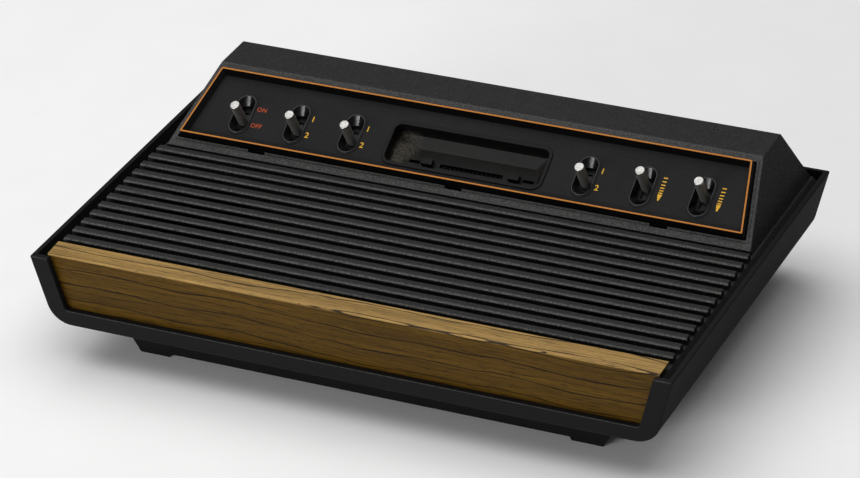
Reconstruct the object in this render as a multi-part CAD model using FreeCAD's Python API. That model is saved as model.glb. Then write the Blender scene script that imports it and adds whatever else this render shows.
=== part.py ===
import FreeCAD, Part
import math
import os

# A video game console of the late 1970s: a tray with a ribbed casing and a sloping control
# panel in it, six metal slide levers, a cartridge well and the boards under them.
# X is to the right, Y to the back, Z up. The origin is on the table, under the tray's middle.
# All sizes are in millimetres and all angles in degrees.

# Tray: the shell that everything stands in
tray_width = 347.2
rim_height = 60.0
side_lean = 14.9
end_lean = 1.3
tray_wall = 2.5
side_wall_at_rim = 2.9
rear_wall_at_rim = 2.4
lip_thickness = 3.2
underside_height = 22.5
lower_edge_radius = 13.5
tray_corner_radius = 1.0
rim_edge_radius = 0.6

# Window in the tray's front wall, where the wood front shows
window_side_strip = 10.0
window_band = 8.6
window_corner_radius = 3.0
window_edge_radius = 0.5

# Plinth under the tray and the two runners that it stands on
plinth_front = 24.0
plinth_depth = 181.0
plinth_inset = 22.8
plinth_side_lean = 31.0
runner_height = 1.9
runner_width = 16.5

# Casing: the deck with the ribs
casing_wall = 2.5
deck_below_rim = 2.75
side_channel = 4.7
shoulder = 2.3
skirt_gap = 0.6
skirt_above_floor = 9.0
rear_channel = 2.1
front_ledge_rise = 1.35

# Ribs across the deck
rib_count = 12
rib_pitch = 9.28
rib_width = 4.1
rib_height = 3.45
rib_front_radius = 1.2
rib_end_inset = 0.1
rib_end_lean = 8.0
rib_end_radius = 0.4
first_rib_front = 21.2
last_groove = 4.6

# Vent slots, in two round fields among the ribs
vent_centre_x = 114.7
vent_field_radius = 28.9
vent_field_centre = 18.9
vent_first_rib = 3
vent_rows = 6
vent_ahead_of_rib = 3.6
vent_under_rib = 1.2
vent_rise = 1.55

# Wood front
wood_behind_lip = 0.9
wood_thickness = 2.2
wood_top_depth = 12.4
wood_above_rim = 0.7
wood_top_rise = 0.7
wood_end_gap = 5.2
wood_under_band = 1.1
wood_edge_radius = 0.9
wood_tab_width = 14.0
wood_tab_height = 3.0
wood_tab_length = 6.0
wood_tab_x = (-120.0, -40.0, 40.0, 120.0)

# Hump that carries the control panel
panel_tilt = 30.0
hump_side_inset = 1.3
hump_side_lean = 21.0
hump_foot_step = 1.9
hump_top_depth = 25.2
hump_rear_lean = 25.0
hump_edge_radius = 0.8
front_strip = 5.3
back_strip = 4.3
side_strip = 3.2
opening_bead_width = 1.2
opening_bead_height = 0.4

# Control panel: a frame that stands proud of the hump, round a recessed plate
panel_length = 42.9
panel_stand = 4.1
panel_gap = 1.0
panel_draft = 0.8
panel_corner_radius = 0.8
panel_rim = 1.0
recess_depth = 4.2
recess_draft = 1.4
ledge_width = 5.0
ledge_thickness = 1.8
clip_x = (-113.0, 0.0, 113.0)
clip_width = 9.0
clip_thickness = 1.4
clip_length = 6.5
clip_barb = 0.7

# Cartridge well
well_half_width = 43.4
well_front = 7.0
well_length = 22.9
well_corner_radius = 4.0
well_straight_depth = 8.8
well_depth = 12.8
well_floor_half_width = 36.7
well_floor_front = 12.2
well_floor_length = 12.3
guide_wall = 1.3
guide_floor = 2.0
guide_lip = 0.6
guide_lip_rise = 0.7
guide_lip_radius = 0.3
slit_half_width = 17.8
slit_width = 2.4
slit_centre = 16.6
key_post_x = 24.5
key_post_width = 6.0
key_post_depth = 3.5
key_post_height = 2.8
key_slot_x = 32.2
key_slot_length = 6.2
key_slot_width = 1.8

# Switches: six alike, three on each side of the well
switch_beside_well = 22.6
switch_from_side = 24.9
switch_centre = 18.9
switch_travel = 4.2
liner_width = 11.1
liner_length = 24.2
liner_rise = 0.55
liner_rim = 0.8
liner_drop = 1.8
liner_flange = 1.2
liner_slot_width = 7.4
liner_slot_length = 13.9
liner_throat_depth = 2.7
liner_edge_radius = 0.3
collar_rise = 0.3
collar_width = 0.7
lever_radius = 2.5
lever_tip_radius = 2.65
lever_rise = 12.4
lever_edge_radius = 0.6
lever_dome = 0.3
tang_width = 2.4
tang_length = 3.2
can_gap = 1.0
can_width = 14.0
can_height = 9.0
can_wall = 0.8
slider_length = 22.0
slider_gap = 0.4
stop_gap = 0.3
switch_base_thickness = 1.4
switch_names = ("power", "tv_type", "left_difficulty", "right_difficulty", "game_select", "game_reset")
sprung_switches = ("game_select", "game_reset")
pin_radius = 0.5

# Boards
board_thickness = 1.6
switch_board_front = -2.0
switch_board_rear_gap = 1.5
board_edge_inset = 1.5
board_window_gap = 1.2
board_boss_radius = 3.2
board_boss_inset = 5.5
board_boss_front = 6.0
board_boss_back = 37.0
board_corner_radius = 2.0
board_pin_length = 1.0
main_board_front = -20.0
main_board_length = 62.0

# Cast shield round the main board
shield_wall = 2.0
shield_gap = 3.2
shield_side_gap = 0.5
shield_headroom = 10.2
shield_legroom = 4.0
shield_corner_radius = 5.0
board_step = 1.0
lug_reach = 5.0
lug_radius = 5.0
lug_thickness = 4.0
lug_places = (6.0, 56.0)
post_radius = 6.5
post_hole_depth = 8.0

# Parts on the main board
connector_half_width = 21.0
connector_depth = 8.4
connector_slot_depth = 9.0
contact_pitch = 2.54
contact_count = 12
contact_width = 1.27
connector_slot_half = 0.6
ribbon_x = -40.0
ribbon_s = 37.0
ribbon_wires = 12
ribbon_wire_radius = 0.6
ribbon_web = 0.5
ribbon_clearance = 0.9
socket_height = 4.2
socket_margin = 1.4
socket_end = 1.0
socket_end_bar = 3.0
socket_floor = 1.0
chip_height = 4.2
chip_lift = 1.26
chip_bevel = 0.5
chip_notch_radius = 1.6
chip_notch_depth = 0.8
chip_leg_width = 0.5
chip_leg_thickness = 0.3
chip_leg_reach = 0.6
chip_width = 13.8
chip_length = 52.0
small_chip_length = 35.6
buffer_chip_length = 19.8
buffer_chip_width = 6.6
buffer_chip_x = -50.0
buffer_chip_s = 16.0
chip_row_margin = 7.0
chip_row_gap = 4.0
chip_s = -9.0
crystal_x = 40.0
crystal_s = 14.0
crystal_half_length = 5.4
crystal_half_width = 2.2
crystal_height = 5.0
crystal_brim = 0.5
crystal_brim_height = 0.8
resistor_count = 9
resistor_first_x = 28.0
resistor_pitch = 4.0
resistor_s = 32.0
resistor_radius = 1.15
resistor_length = 6.5
resistor_wire_radius = 0.3
resistor_leg_radius = 0.35
resistor_leg_reach = 4.7
modulator_gap = 3.4
modulator_margin = 4.0
modulator_length = 28.0
modulator_width = 26.0
modulator_height = 9.0
modulator_edge_radius = 0.8
tuner_radius = 2.0
tuner_depth = 1.0
phono_s = 20.0
phono_radius = 4.1
phono_wall = 0.6
phono_core_radius = 2.2
phono_bore_radius = 1.6
phono_bore_depth = 10.0
phono_ring_depth = 1.5
phono_collar = 0.3
phono_collar_length = 1.0
phono_proud = 6.0

# Parts at the rear
port_from_board_end = 38.8
port_flange_width = 30.8
port_flange_height = 12.5
port_recess = 5.0
port_gap = 0.9
port_flange_thickness = 2.0
port_block_half = 9.8
port_block_depth = 11.0
port_shell_half = 8.5
port_shell_taper = 0.8
port_shell_height = 8.4
port_shell_wall = 0.5
port_shell_length = 5.8
port_shell_radius = 2.2
port_corner_radius = 1.0
port_pin_pitch = 2.76
port_row_offset = 1.42
port_pin_short = 1.2
port_foot_gap = 1.0
rear_part_step = 1.6
rear_part_drop = 5.2
jack_x = 30.0
jack_bore_radius = 1.8
jack_barrel_radius = 4.0
jack_bore_depth = 13.0
jack_block_half = 4.8
jack_block_depth = 12.0
jack_proud = 0.5
channel_switch_x = -30.0
channel_knob_travel = 4.0
channel_knob_width = 3.2
channel_knob_height = 2.6
channel_knob_proud = 2.2
channel_base_half = 3.2
channel_base_rise = 2.0
channel_body_half = 8.0
channel_body_depth = 9.0
channel_body_rise = 3.8
channel_back_wall = 2.0
channel_lip = 1.2
heat_sink_centre = 82.0
heat_sink_width = 20.0
heat_sink_from_board_rear = 7.1
heat_sink_length = 15.0
heat_sink_height = 5.5
heat_sink_wall = 1.5
regulator_half_width = 5.0
regulator_end_gap = 1.0
regulator_tab = 1.3
regulator_body_length = 9.0
regulator_height = 4.4
regulator_hole_radius = 1.8
regulator_hole_inset = 2.6
regulator_leg_width = 0.8
regulator_leg_thickness = 0.5
regulator_leg_level = 2.2
regulator_leg_reach = 3.0
capacitor_x = (-104.0, -76.0)
capacitor_from_board_rear = 16.1
capacitor_radius = 4.0
capacitor_length = 20.0
capacitor_groove_place = 2.5
capacitor_groove_radius = 0.7
capacitor_groove_depth = 0.4
grommet_x = 62.0
grommet_bore_radius = 2.6
grommet_neck_radius = 4.6
grommet_flange_radius = 6.4
grommet_flange = 1.2
grommet_edge_radius = 0.5
grommet_height = 71.0

# Fasteners
screw_radius = 1.5
screw_head_radius = 2.9
screw_head_height = 2.0
screw_head_edge = 1.2
screw_point = 1.0
cross_half_length = 1.75
cross_half_width = 0.35
cross_depth = 1.0
screw_gap = 0.05
case_screw_length = 14.0
board_screw_length = 9.0
case_boss_radius = 4.2
tray_boss_radius = 5.0
case_boss_inset = 16.2
case_boss_front = 32.0
case_boss_behind_board = 4.6
case_boss_height = 11.0
counterbore_roof = 3.0

# General clearances, and how far a cutting solid runs past the faces that it cuts
seat_gap = 0.3
slide_gap = 0.3
past = 1.0

Vector = FreeCAD.Vector


def tan_of(angle):
    return math.tan(math.radians(angle))


def sin_of(angle):
    return math.sin(math.radians(angle))


def cos_of(angle):
    return math.cos(math.radians(angle))


# Levels above the table
deck_height = rim_height - deck_below_rim
floor_height = underside_height + tray_wall
skirt_height = floor_height + skirt_above_floor
window_height = underside_height + window_band
wood_height = window_height - wood_under_band
case_seat_height = floor_height + case_boss_height

# Places along the depth, measured from the front of the tray's rim
wood_front = lip_thickness + wood_behind_lip
wood_lean = (rim_height + wood_above_rim - wood_height) * tan_of(end_lean)
casing_front = wood_front + wood_lean + wood_thickness + seat_gap
hump_front = first_rib_front + (rib_count - 1) * rib_pitch + rib_width + last_groove
hump_foot_height = deck_height + hump_foot_step
face_draft = panel_draft * panel_stand / (panel_stand + casing_wall)
panel_margin = panel_gap + face_draft
panel_up = front_strip + panel_margin
panel_origin_depth = hump_front + panel_up * cos_of(panel_tilt) - panel_stand * sin_of(panel_tilt)
panel_origin_height = hump_foot_height + panel_up * sin_of(panel_tilt) + panel_stand * cos_of(panel_tilt)
hump_slope_length = front_strip + back_strip + panel_length + 2 * panel_margin
hump_top_front = hump_front + hump_slope_length * cos_of(panel_tilt)
hump_top_height = hump_foot_height + hump_slope_length * sin_of(panel_tilt)
hump_top_rear = hump_top_front + hump_top_depth
casing_rear = hump_top_rear + (hump_top_height - deck_height) * tan_of(hump_rear_lean)
tray_depth = casing_rear + rear_channel + rear_wall_at_rim

# Half widths
tray_half = tray_width / 2
tray_inner_half = tray_half - side_wall_at_rim
deck_half = tray_inner_half - side_channel
hump_foot_half = deck_half - hump_side_inset
plinth_half_width = tray_half - (rim_height - underside_height) * tan_of(side_lean) - plinth_inset
case_boss_x = tray_inner_half - (rim_height - floor_height) * tan_of(side_lean) - case_boss_inset

# Places along the main board, which is as wide as its row of chips and the modulator need
long_socket = chip_length + 2 * socket_end
short_socket = small_chip_length + 2 * socket_end
chip_row = 2 * long_socket + short_socket + 2 * chip_row_gap
main_board_half_width = (chip_row_margin + chip_row + modulator_gap + modulator_length + modulator_margin) / 2
io_chip_x = chip_row_margin + long_socket / 2 - main_board_half_width
video_chip_x = io_chip_x + long_socket + chip_row_gap
processor_x = video_chip_x + (long_socket + short_socket) / 2 + chip_row_gap
modulator_right = main_board_half_width - modulator_margin
modulator_left = modulator_right - modulator_length

# Levels on the control panel, measured square to it from the top of its rim
face_level = -panel_stand
panel_bottom = face_level - casing_wall
plate_level = -recess_depth
well_floor_level = plate_level - well_depth
guide_bottom = well_floor_level - guide_floor
liner_bottom = panel_bottom - liner_drop
lever_tip = plate_level + lever_rise
can_top = liner_bottom - can_gap
can_bottom = can_top - can_height
switch_board_top = can_bottom - switch_base_thickness
switch_board_bottom = switch_board_top - board_thickness
shield_roof = switch_board_bottom - shield_gap
main_board_top = shield_roof - shield_wall - shield_headroom
main_board_bottom = main_board_top - board_thickness
shield_floor = main_board_bottom - shield_legroom - shield_wall
port_level = switch_board_bottom - port_flange_height / 2 - port_gap
rear_part_level = switch_board_bottom - rear_part_drop
phono_level = main_board_top + modulator_height / 2


def at_depth(distance):
    """The Y of a place that lies so far behind the front of the rim."""
    return distance - tray_depth / 2


panel_place = FreeCAD.Placement(
    Vector(0, at_depth(panel_origin_depth), panel_origin_height),
    FreeCAD.Rotation(Vector(1, 0, 0), panel_tilt),
)


def on_panel(shape):
    """Turns a shape made in panel coordinates (x, up the slope, square to it) into its place."""
    return shape.transformed(panel_place.toMatrix())


def rear_face_s(level):
    """How far up the slope the outside of the hump's rear wall lies, at a level of the panel."""
    slant = tan_of(hump_rear_lean)
    reach = casing_rear + deck_height * slant - panel_origin_depth - panel_origin_height * slant
    turn = sin_of(panel_tilt) - slant * cos_of(panel_tilt)
    return (reach + level * turn) / (cos_of(panel_tilt) + slant * sin_of(panel_tilt))


def box(x0, x1, y0, y1, z0, z1):
    return Part.makeBox(x1 - x0, y1 - y0, z1 - z0, Vector(x0, y0, z0))


def cylinder(x, y, z0, z1, radius):
    return Part.makeCylinder(radius, z1 - z0, Vector(x, y, z0))


def outline_wire(corners, place):
    """A closed wire through corners (a, b, radius); place gives each (a, b) its 3-D point."""
    count = len(corners)
    runs = []
    for index, (a, b, radius) in enumerate(corners):
        here = Vector(a, b, 0)
        before = corners[index - 1]
        after = corners[(index + 1) % count]
        back = (Vector(before[0], before[1], 0) - here).normalize()
        ahead = (Vector(after[0], after[1], 0) - here).normalize()
        if radius <= 0:
            runs.append((here, here, here))
            continue
        half_angle = back.getAngle(ahead) / 2
        inward = (back + ahead).normalize()
        reach = radius / math.tan(half_angle)
        centre = here + inward * (radius / math.sin(half_angle))
        runs.append((here + back * reach, centre - inward * radius, here + ahead * reach))
    edges = []
    for index, (start, middle, end) in enumerate(runs):
        previous_end = runs[index - 1][2]
        if previous_end.distanceToPoint(start) > 1e-6:
            edges.append(Part.LineSegment(place(previous_end), place(start)).toShape())
        if start.distanceToPoint(end) > 1e-6:
            edges.append(Part.Arc(place(start), place(middle), place(end)).toShape())
    return Part.Wire(edges)


def prism_along_y(corners, y0, y1):
    """A solid with an (x, z) outline between two depths."""
    wire = outline_wire(corners, lambda p: Vector(p.x, y0, p.y))
    return Part.Face(wire).extrude(Vector(0, y1 - y0, 0))


def prism_along_x(corners, x0, x1):
    """A solid with a (y, z) outline between two sides."""
    wire = outline_wire(corners, lambda p: Vector(x0, p.x, p.y))
    return Part.Face(wire).extrude(Vector(x1 - x0, 0, 0))


def level_wire(corners, z):
    return outline_wire(corners, lambda p: Vector(p.x, p.y, z))


def prism_up(corners, z0, z1):
    """A solid with an (x, y) outline between two levels."""
    return Part.Face(level_wire(corners, z0)).extrude(Vector(0, 0, z1 - z0))


def loft_up(lower, z0, upper, z1):
    """A solid that goes straight from one outline to another, level to level."""
    return Part.makeLoft([level_wire(lower, z0), level_wire(upper, z1)], True, True)


def revolved(corners, x, y):
    """A turned solid: (radius, z) outline about an upright axis at x, y."""
    wire = outline_wire(corners, lambda p: Vector(x + p.x, y, p.y))
    return Part.Face(wire).revolve(Vector(x, y, 0), Vector(0, 0, 1), 360)


def mirrored_outline(right_side):
    """Corners on the right, from bottom to top, and the same on the left, from top to bottom."""
    left_side = [(-a, b, radius) for a, b, radius in reversed(right_side)]
    return right_side + left_side


def grown(corners, distance):
    """The outline with each side moved outwards by a distance; its radii stay as they are."""
    count = len(corners)
    area = 0
    for index in range(count):
        a0, b0, _ = corners[index - 1]
        a1, b1, _ = corners[index]
        area += a0 * b1 - a1 * b0
    turn = 1 if area > 0 else -1
    sides = []
    for index in range(count):
        a0, b0, _ = corners[index]
        a1, b1, _ = corners[(index + 1) % count]
        length = math.hypot(a1 - a0, b1 - b0)
        normal = (turn * (b1 - b0) / length, -turn * (a1 - a0) / length)
        sides.append((normal, normal[0] * a0 + normal[1] * b0 + distance))
    result = []
    for index in range(count):
        (n0, d0), (n1, d1) = sides[index - 1], sides[index]
        cross = n0[0] * n1[1] - n0[1] * n1[0]
        a = (d0 * n1[1] - d1 * n0[1]) / cross
        b = (n0[0] * d1 - n1[0] * d0) / cross
        result.append((a, b, corners[index][2]))
    return result


def rectangle(half_width, front, back, radius=0.0):
    return [
        (-half_width, front, radius),
        (half_width, front, radius),
        (half_width, back, radius),
        (-half_width, back, radius),
    ]


def stadium(x, middle, width, length, z0, z1):
    """An upright solid with a straight-sided oval outline, longest up the slope."""
    straight = (length - width) / 2
    radius = width / 2
    body = box(x - radius, x + radius, middle - straight, middle + straight, z0, z1)
    ends = [cylinder(x, middle + side * straight, z0, z1, radius) for side in (-1, 1)]
    return body.fuse(ends).removeSplitter()


def edges_where(shape, test):
    """The edges whose every sampled point passes a test."""
    found = []
    for edge in shape.Edges:
        first, last = edge.ParameterRange
        points = [edge.valueAt(first + share * (last - first)) for share in (0.0, 0.5, 1.0)]
        if all(test(point) for point in points):
            found.append(edge)
    return found


def tray_half_at(height, half_at_rim):
    """Half the width of a leaning side wall at a height."""
    return half_at_rim - (rim_height - height) * tan_of(side_lean)


def hump_half_at(height):
    """Half the width of the hump at a height."""
    return hump_foot_half - (height - deck_height) * tan_of(hump_side_lean)


def panel_half_at(s):
    """Half the width of the control panel's rim, so far up the slope."""
    height = panel_origin_height + s * sin_of(panel_tilt) + face_level * cos_of(panel_tilt)
    return hump_half_at(height) - side_strip - panel_margin


def panel_outline(inset, radius=0.0):
    """The control panel's outline, with each side moved in by an inset."""
    front = (panel_half_at(0), 0, radius)
    back = (panel_half_at(panel_length), panel_length, radius)
    return grown(mirrored_outline([front, back]), -inset)


def tray_side_view(front, rear, top, bottom):
    """The (y, z) outline between the tray's two slightly leaning ends."""
    def lean(height):
        return (rim_height - height) * tan_of(end_lean)
    return [
        (front + lean(bottom), bottom, 0),
        (rear - lean(bottom), bottom, 0),
        (rear - lean(top), top, 0),
        (front + lean(top), top, 0),
    ]


def plinth_outline(bottom, top, inset):
    """The plinth's (x, z) outline, widening upwards."""
    def half(height):
        return plinth_half_width - (underside_height - height) * tan_of(plinth_side_lean)
    return grown(mirrored_outline([(half(bottom), bottom, 0), (half(top), top, 0)]), -inset)


def switch_board_rear():
    """How far up the slope the switch board's rear edge is, and half its width there."""
    rear = rear_face_s(switch_board_bottom) - casing_wall - switch_board_rear_gap
    return rear, panel_half_at(rear) - board_edge_inset


def heat_sink_front():
    """How far up the slope the heat sink's front edge is."""
    return switch_board_rear()[0] - heat_sink_from_board_rear - heat_sink_length


def port_x(side):
    """The middle of the left or the right controller port."""
    return side * (switch_board_rear()[1] - port_from_board_end)


def case_screw_places():
    """Where the four screws through the tray's underside stand."""
    board_rear = switch_board_rear()[0]
    behind = board_rear * cos_of(panel_tilt) - switch_board_bottom * sin_of(panel_tilt)
    rear = panel_origin_depth + behind + case_boss_behind_board
    return [(side * case_boss_x, at_depth(y)) for side in (-1, 1) for y in (case_boss_front, rear)]


def shield_outline(inset, radius):
    """The shield's outline on the panel's slope."""
    margin = shield_side_gap + shield_wall - inset
    half = main_board_half_width + margin
    return rectangle(half, main_board_front - margin, main_board_front + main_board_length + margin, radius)


def shield_screw_places():
    """Where the shield's four screws stand, in lugs outside its two ends."""
    x = main_board_half_width + shield_side_gap + shield_wall + lug_reach
    return [(side * x, main_board_front + s) for side in (-1, 1) for s in lug_places]


def board_boss_places():
    """Where the switch board's four screws stand."""
    places = []
    for s in (board_boss_front, board_boss_back):
        x = panel_half_at(s) - board_boss_inset
        places += [(-x, s), (x, s)]
    return places


def switch_x(index):
    """The middle of each switch, from left to right: evenly spread from the well to the sides."""
    side = -1 if index < 3 else 1
    step = 2 - index if index < 3 else index - 3
    first = well_half_width + switch_beside_well
    last = panel_half_at(switch_centre) - switch_from_side
    return side * (first + step * (last - first) / 2)


def base_tray():
    """The lower shell: leaning walls, front window, plinth with runners, and screw posts."""
    front = at_depth(0)
    rear = at_depth(tray_depth)
    low_half = tray_half_at(underside_height, tray_half)
    outer = prism_along_y(
        mirrored_outline([(low_half, underside_height, lower_edge_radius), (tray_half, rim_height, 0)]),
        front, rear,
    )
    view = tray_side_view(front, rear, rim_height, underside_height)
    outer = outer.common(prism_along_x(view, -tray_half, tray_half))

    def on_an_end(point):
        lean = (rim_height - point.z) * tan_of(end_lean)
        at_end = min(abs(point.y - front - lean), abs(rear - lean - point.y)) < 0.01
        return at_end and point.z < rim_height - 0.01 or at_end and abs(point.x) > tray_half - 0.01

    ends = [edge for edge in edges_where(outer, on_an_end) if edge.BoundBox.ZMin < rim_height - 1]
    outer = outer.makeFillet(tray_corner_radius, ends)
    rim = edges_where(outer, lambda point: abs(point.z - rim_height) < 0.01)
    outer = outer.makeFillet(rim_edge_radius, rim)

    open_top = rim_height + casing_wall
    inner_low = tray_half_at(floor_height, tray_inner_half)
    inner_top = tray_half_at(open_top, tray_inner_half)
    inner_side = [(inner_low, floor_height, lower_edge_radius - tray_wall), (inner_top, open_top, 0)]
    cavity = prism_along_y(mirrored_outline(inner_side), front, rear)
    inner_view = tray_side_view(front + lip_thickness, rear - rear_wall_at_rim, open_top, floor_height)
    cavity = cavity.common(prism_along_x(inner_view, -tray_half, tray_half))

    window_half = tray_half - window_side_strip
    window_low = tray_half_at(window_height, window_half)
    window_top = tray_half_at(open_top, window_half)
    window = prism_along_y(
        mirrored_outline([(window_low, window_height, window_corner_radius), (window_top, open_top, 0)]),
        front - past, front + lip_thickness + wood_behind_lip,
    )

    plinth_back = plinth_front + plinth_depth
    plinth = prism_along_y(
        plinth_outline(runner_height, floor_height, 0), at_depth(plinth_front), at_depth(plinth_back)
    )
    pocket = prism_along_y(
        plinth_outline(runner_height, floor_height + 2 * tray_wall, tray_wall),
        at_depth(plinth_front + tray_wall), at_depth(plinth_back - tray_wall),
    )
    foot_half = plinth_half_width - underside_height * tan_of(plinth_side_lean)
    inner_foot = foot_half - runner_width
    runner = [
        (inner_foot, 0, 0),
        (foot_half, 0, 0),
        (foot_half + runner_height * tan_of(plinth_side_lean), runner_height, 0),
        (inner_foot - runner_height * tan_of(plinth_side_lean), runner_height, 0),
    ]
    shell = outer.fuse(plinth)
    for side in (-1, 1):
        corners = [(side * x, z, radius) for x, z, radius in runner]
        shell = shell.fuse(prism_along_y(corners, at_depth(plinth_front), at_depth(plinth_back)))
    shell = shell.cut([cavity, window, pocket])

    def on_window_edge(point):
        lean = (rim_height - point.z) * tan_of(end_lean)
        in_strip = abs(point.x) < window_half - tan_of(side_lean) and point.z < rim_height - rim_edge_radius
        return in_strip and abs(point.y - front - lean) < 0.01 and point.z > window_height - 0.01

    sill = [edge for edge in edges_where(shell, on_window_edge) if edge.BoundBox.ZMax < deck_height]
    shell = shell.makeFillet(window_edge_radius, sill)

    bosses = []
    bores = []
    roof = case_seat_height - counterbore_roof
    for x, y in case_screw_places():
        low = underside_height - past
        bosses.append(cylinder(x, y, floor_height - tray_wall / 2, case_seat_height, tray_boss_radius))
        bores.append(cylinder(x, y, low, case_seat_height + past, screw_radius + slide_gap))
        bores.append(cylinder(x, y, low, roof, screw_head_radius + slide_gap))
    above_shield = on_panel(
        Part.makeBox(tray_width, tray_depth, rim_height, Vector(-tray_half, -tray_depth / 2, shield_floor))
    )
    for x, s in shield_screw_places():
        middle = on_panel(Part.Vertex(x, s, shield_floor - post_hole_depth / 2)).Point
        post = cylinder(middle.x, middle.y, runner_height + tray_wall / 2, rim_height, post_radius)
        bosses.append(post.cut(above_shield))
        hole = cylinder(x, s, shield_floor - post_hole_depth, shield_floor + past, screw_radius + screw_gap)
        bores.append(on_panel(hole))
    return shell.fuse(bosses).cut(bores).removeSplitter()


def deck_and_hump():
    """The casing's solid outer form, before it is hollowed."""
    rear = at_depth(casing_rear)
    skirt_half = tray_half_at(skirt_height, tray_inner_half) - skirt_gap
    deck = prism_along_y(deck_outline(skirt_half, skirt_height, 0), at_depth(casing_front), rear)
    hump = prism_along_y(hump_outline(deck_height - casing_wall / 2, 0), at_depth(hump_front), rear)
    hump = hump.common(prism_along_x(hump_side_view(deck_height - casing_wall / 2, 0), -tray_half, tray_half))

    ridges = [
        edge for edge in edges_where(hump, lambda point: point.z > deck_height - casing_wall)
        if edge.BoundBox.ZMax > hump_foot_height + hump_edge_radius
    ]
    hump = hump.makeFillet(hump_edge_radius, ridges)
    ledge_half = deck_half - wood_end_gap
    ledge = box(
        -ledge_half, ledge_half,
        at_depth(casing_front), at_depth(wood_front + wood_top_depth),
        deck_height - casing_wall / 2, deck_height + front_ledge_rise,
    )
    return deck.fuse([hump, ledge] + ribs())


def deck_outline(low_half, low, inset):
    right = [
        (low_half, low, 0),
        (deck_half + shoulder, deck_height - shoulder, 0),
        (deck_half, deck_height, 0),
    ]
    return grown(mirrored_outline(right), -inset)


def hump_outline(low, inset):
    right = [(hump_half_at(low), low, 0), (hump_half_at(hump_top_height), hump_top_height, 0)]
    return grown(mirrored_outline(right), -inset)


def hump_side_view(low, inset):
    corners = [
        (at_depth(hump_front), low, 0),
        (at_depth(casing_rear) + (deck_height - low) * tan_of(hump_rear_lean), low, 0),
        (at_depth(hump_top_rear), hump_top_height, 0),
        (at_depth(hump_top_front), hump_top_height, 0),
        (at_depth(hump_front), hump_foot_height, 0),
    ]
    return grown(corners, -inset)


def ribs():
    """Twelve straight ribs with a round front edge and round outer corners."""
    top = deck_height + rib_height
    low = deck_height - casing_wall / 2
    end_half = deck_half - rib_end_inset
    top_half = end_half - rib_height * tan_of(rib_end_lean)
    ends = mirrored_outline([(end_half, low, 0), (top_half, top, rib_end_radius)])
    made = []
    for index in range(rib_count):
        front = at_depth(first_rib_front + index * rib_pitch)
        back = front + rib_width
        profile = [(front, low, 0), (back, low, 0), (back, top, 0), (front, top, rib_front_radius)]
        rib = prism_along_x(profile, -deck_half, deck_half)
        made.append(rib.common(prism_along_y(ends, front - past, back + past)))
    return made


def vent_cuts():
    """Slots from below that open into the grooves and just under the rib behind each one."""
    cuts = []
    for row in range(vent_rows):
        off_centre = row * rib_pitch - vent_field_centre
        half_length = math.sqrt(vent_field_radius ** 2 - off_centre ** 2)
        rib_front = at_depth(first_rib_front + (vent_first_rib + row) * rib_pitch)
        for side in (-1, 1):
            middle = side * vent_centre_x
            cuts.append(box(
                middle - half_length, middle + half_length,
                rib_front - vent_ahead_of_rib, rib_front + vent_under_rib,
                deck_height - casing_wall - past, deck_height + vent_rise,
            ))
    return cuts


def clip_cuts():
    """Notches in the opening's front bead and in the ledge's two long sides, for the clips."""
    reach = clip_width / 2 + slide_gap
    front = -panel_draft - panel_gap - opening_bead_width
    front_end = clip_thickness - panel_draft + slide_gap
    back = panel_length + panel_draft
    low = panel_bottom - ledge_thickness - past
    bead_top = face_level + opening_bead_height + past
    cuts = []
    for x in clip_x:
        left = x - reach
        right = x + reach
        cuts.append(box(left, right, front, front_end, low, panel_bottom))
        cuts.append(box(left, right, front, 0, panel_bottom - past, bead_top))
        cuts.append(box(left, right, back - clip_thickness - slide_gap, back + slide_gap, low, panel_bottom))
    return cuts


def wood_tab_boxes(gap):
    """The wood front's tabs, or with a gap the slots that they pass through."""
    middle = (wood_height + deck_height) / 2
    reach = wood_tab_width / 2 + gap
    rise = wood_tab_height / 2 + gap
    start = at_depth(wood_front + wood_thickness / 2)
    end = at_depth(casing_front + wood_tab_length) + gap
    return [box(x - reach, x + reach, start, end, middle - rise, middle + rise) for x in wood_tab_x]


def rear_openings():
    """What is cut through the hump's rear wall for the sockets, the channel switch and the cord."""
    inside = rear_face_s(port_level) - casing_wall * 2
    outside = rear_face_s(port_level) + casing_wall * 2
    port_half = port_flange_width / 2 + port_gap
    port_rise = port_flange_height / 2 + port_gap
    low = port_level - port_rise
    high = port_level + port_rise
    cuts = []
    for side in (-1, 1):
        x = port_x(side)
        cuts.append(box(x - port_half, x + port_half, inside, outside, low, high))
    start = Vector(jack_x, inside, rear_part_level)
    barrel = Part.makeCylinder(jack_barrel_radius + slide_gap, outside - inside, start, Vector(0, 1, 0))
    reach = (channel_knob_width + channel_knob_travel) / 2 + 2 * slide_gap
    rise = channel_knob_height / 2 + 2 * slide_gap
    slot = box(
        channel_switch_x - reach, channel_switch_x + reach, inside, outside,
        rear_part_level - rise, rear_part_level + rise,
    )
    cuts += [barrel, slot]
    cord_hole = cylinder(0, 0, -casing_wall * 2, casing_wall * 2, grommet_neck_radius + screw_gap)
    return [on_panel(cut) for cut in cuts] + [on_rear_wall(cord_hole)]


def on_rear_wall(shape):
    """Turns a shape made about Z, with the wall's outside at zero, into its place at the cord hole."""
    height = grommet_height
    depth = casing_rear - (height - deck_height) * tan_of(hump_rear_lean)
    place = FreeCAD.Placement(
        Vector(grommet_x, at_depth(depth), height),
        FreeCAD.Rotation(Vector(1, 0, 0), hump_rear_lean - 90),
    )
    return shape.transformed(place.toMatrix())


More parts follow.
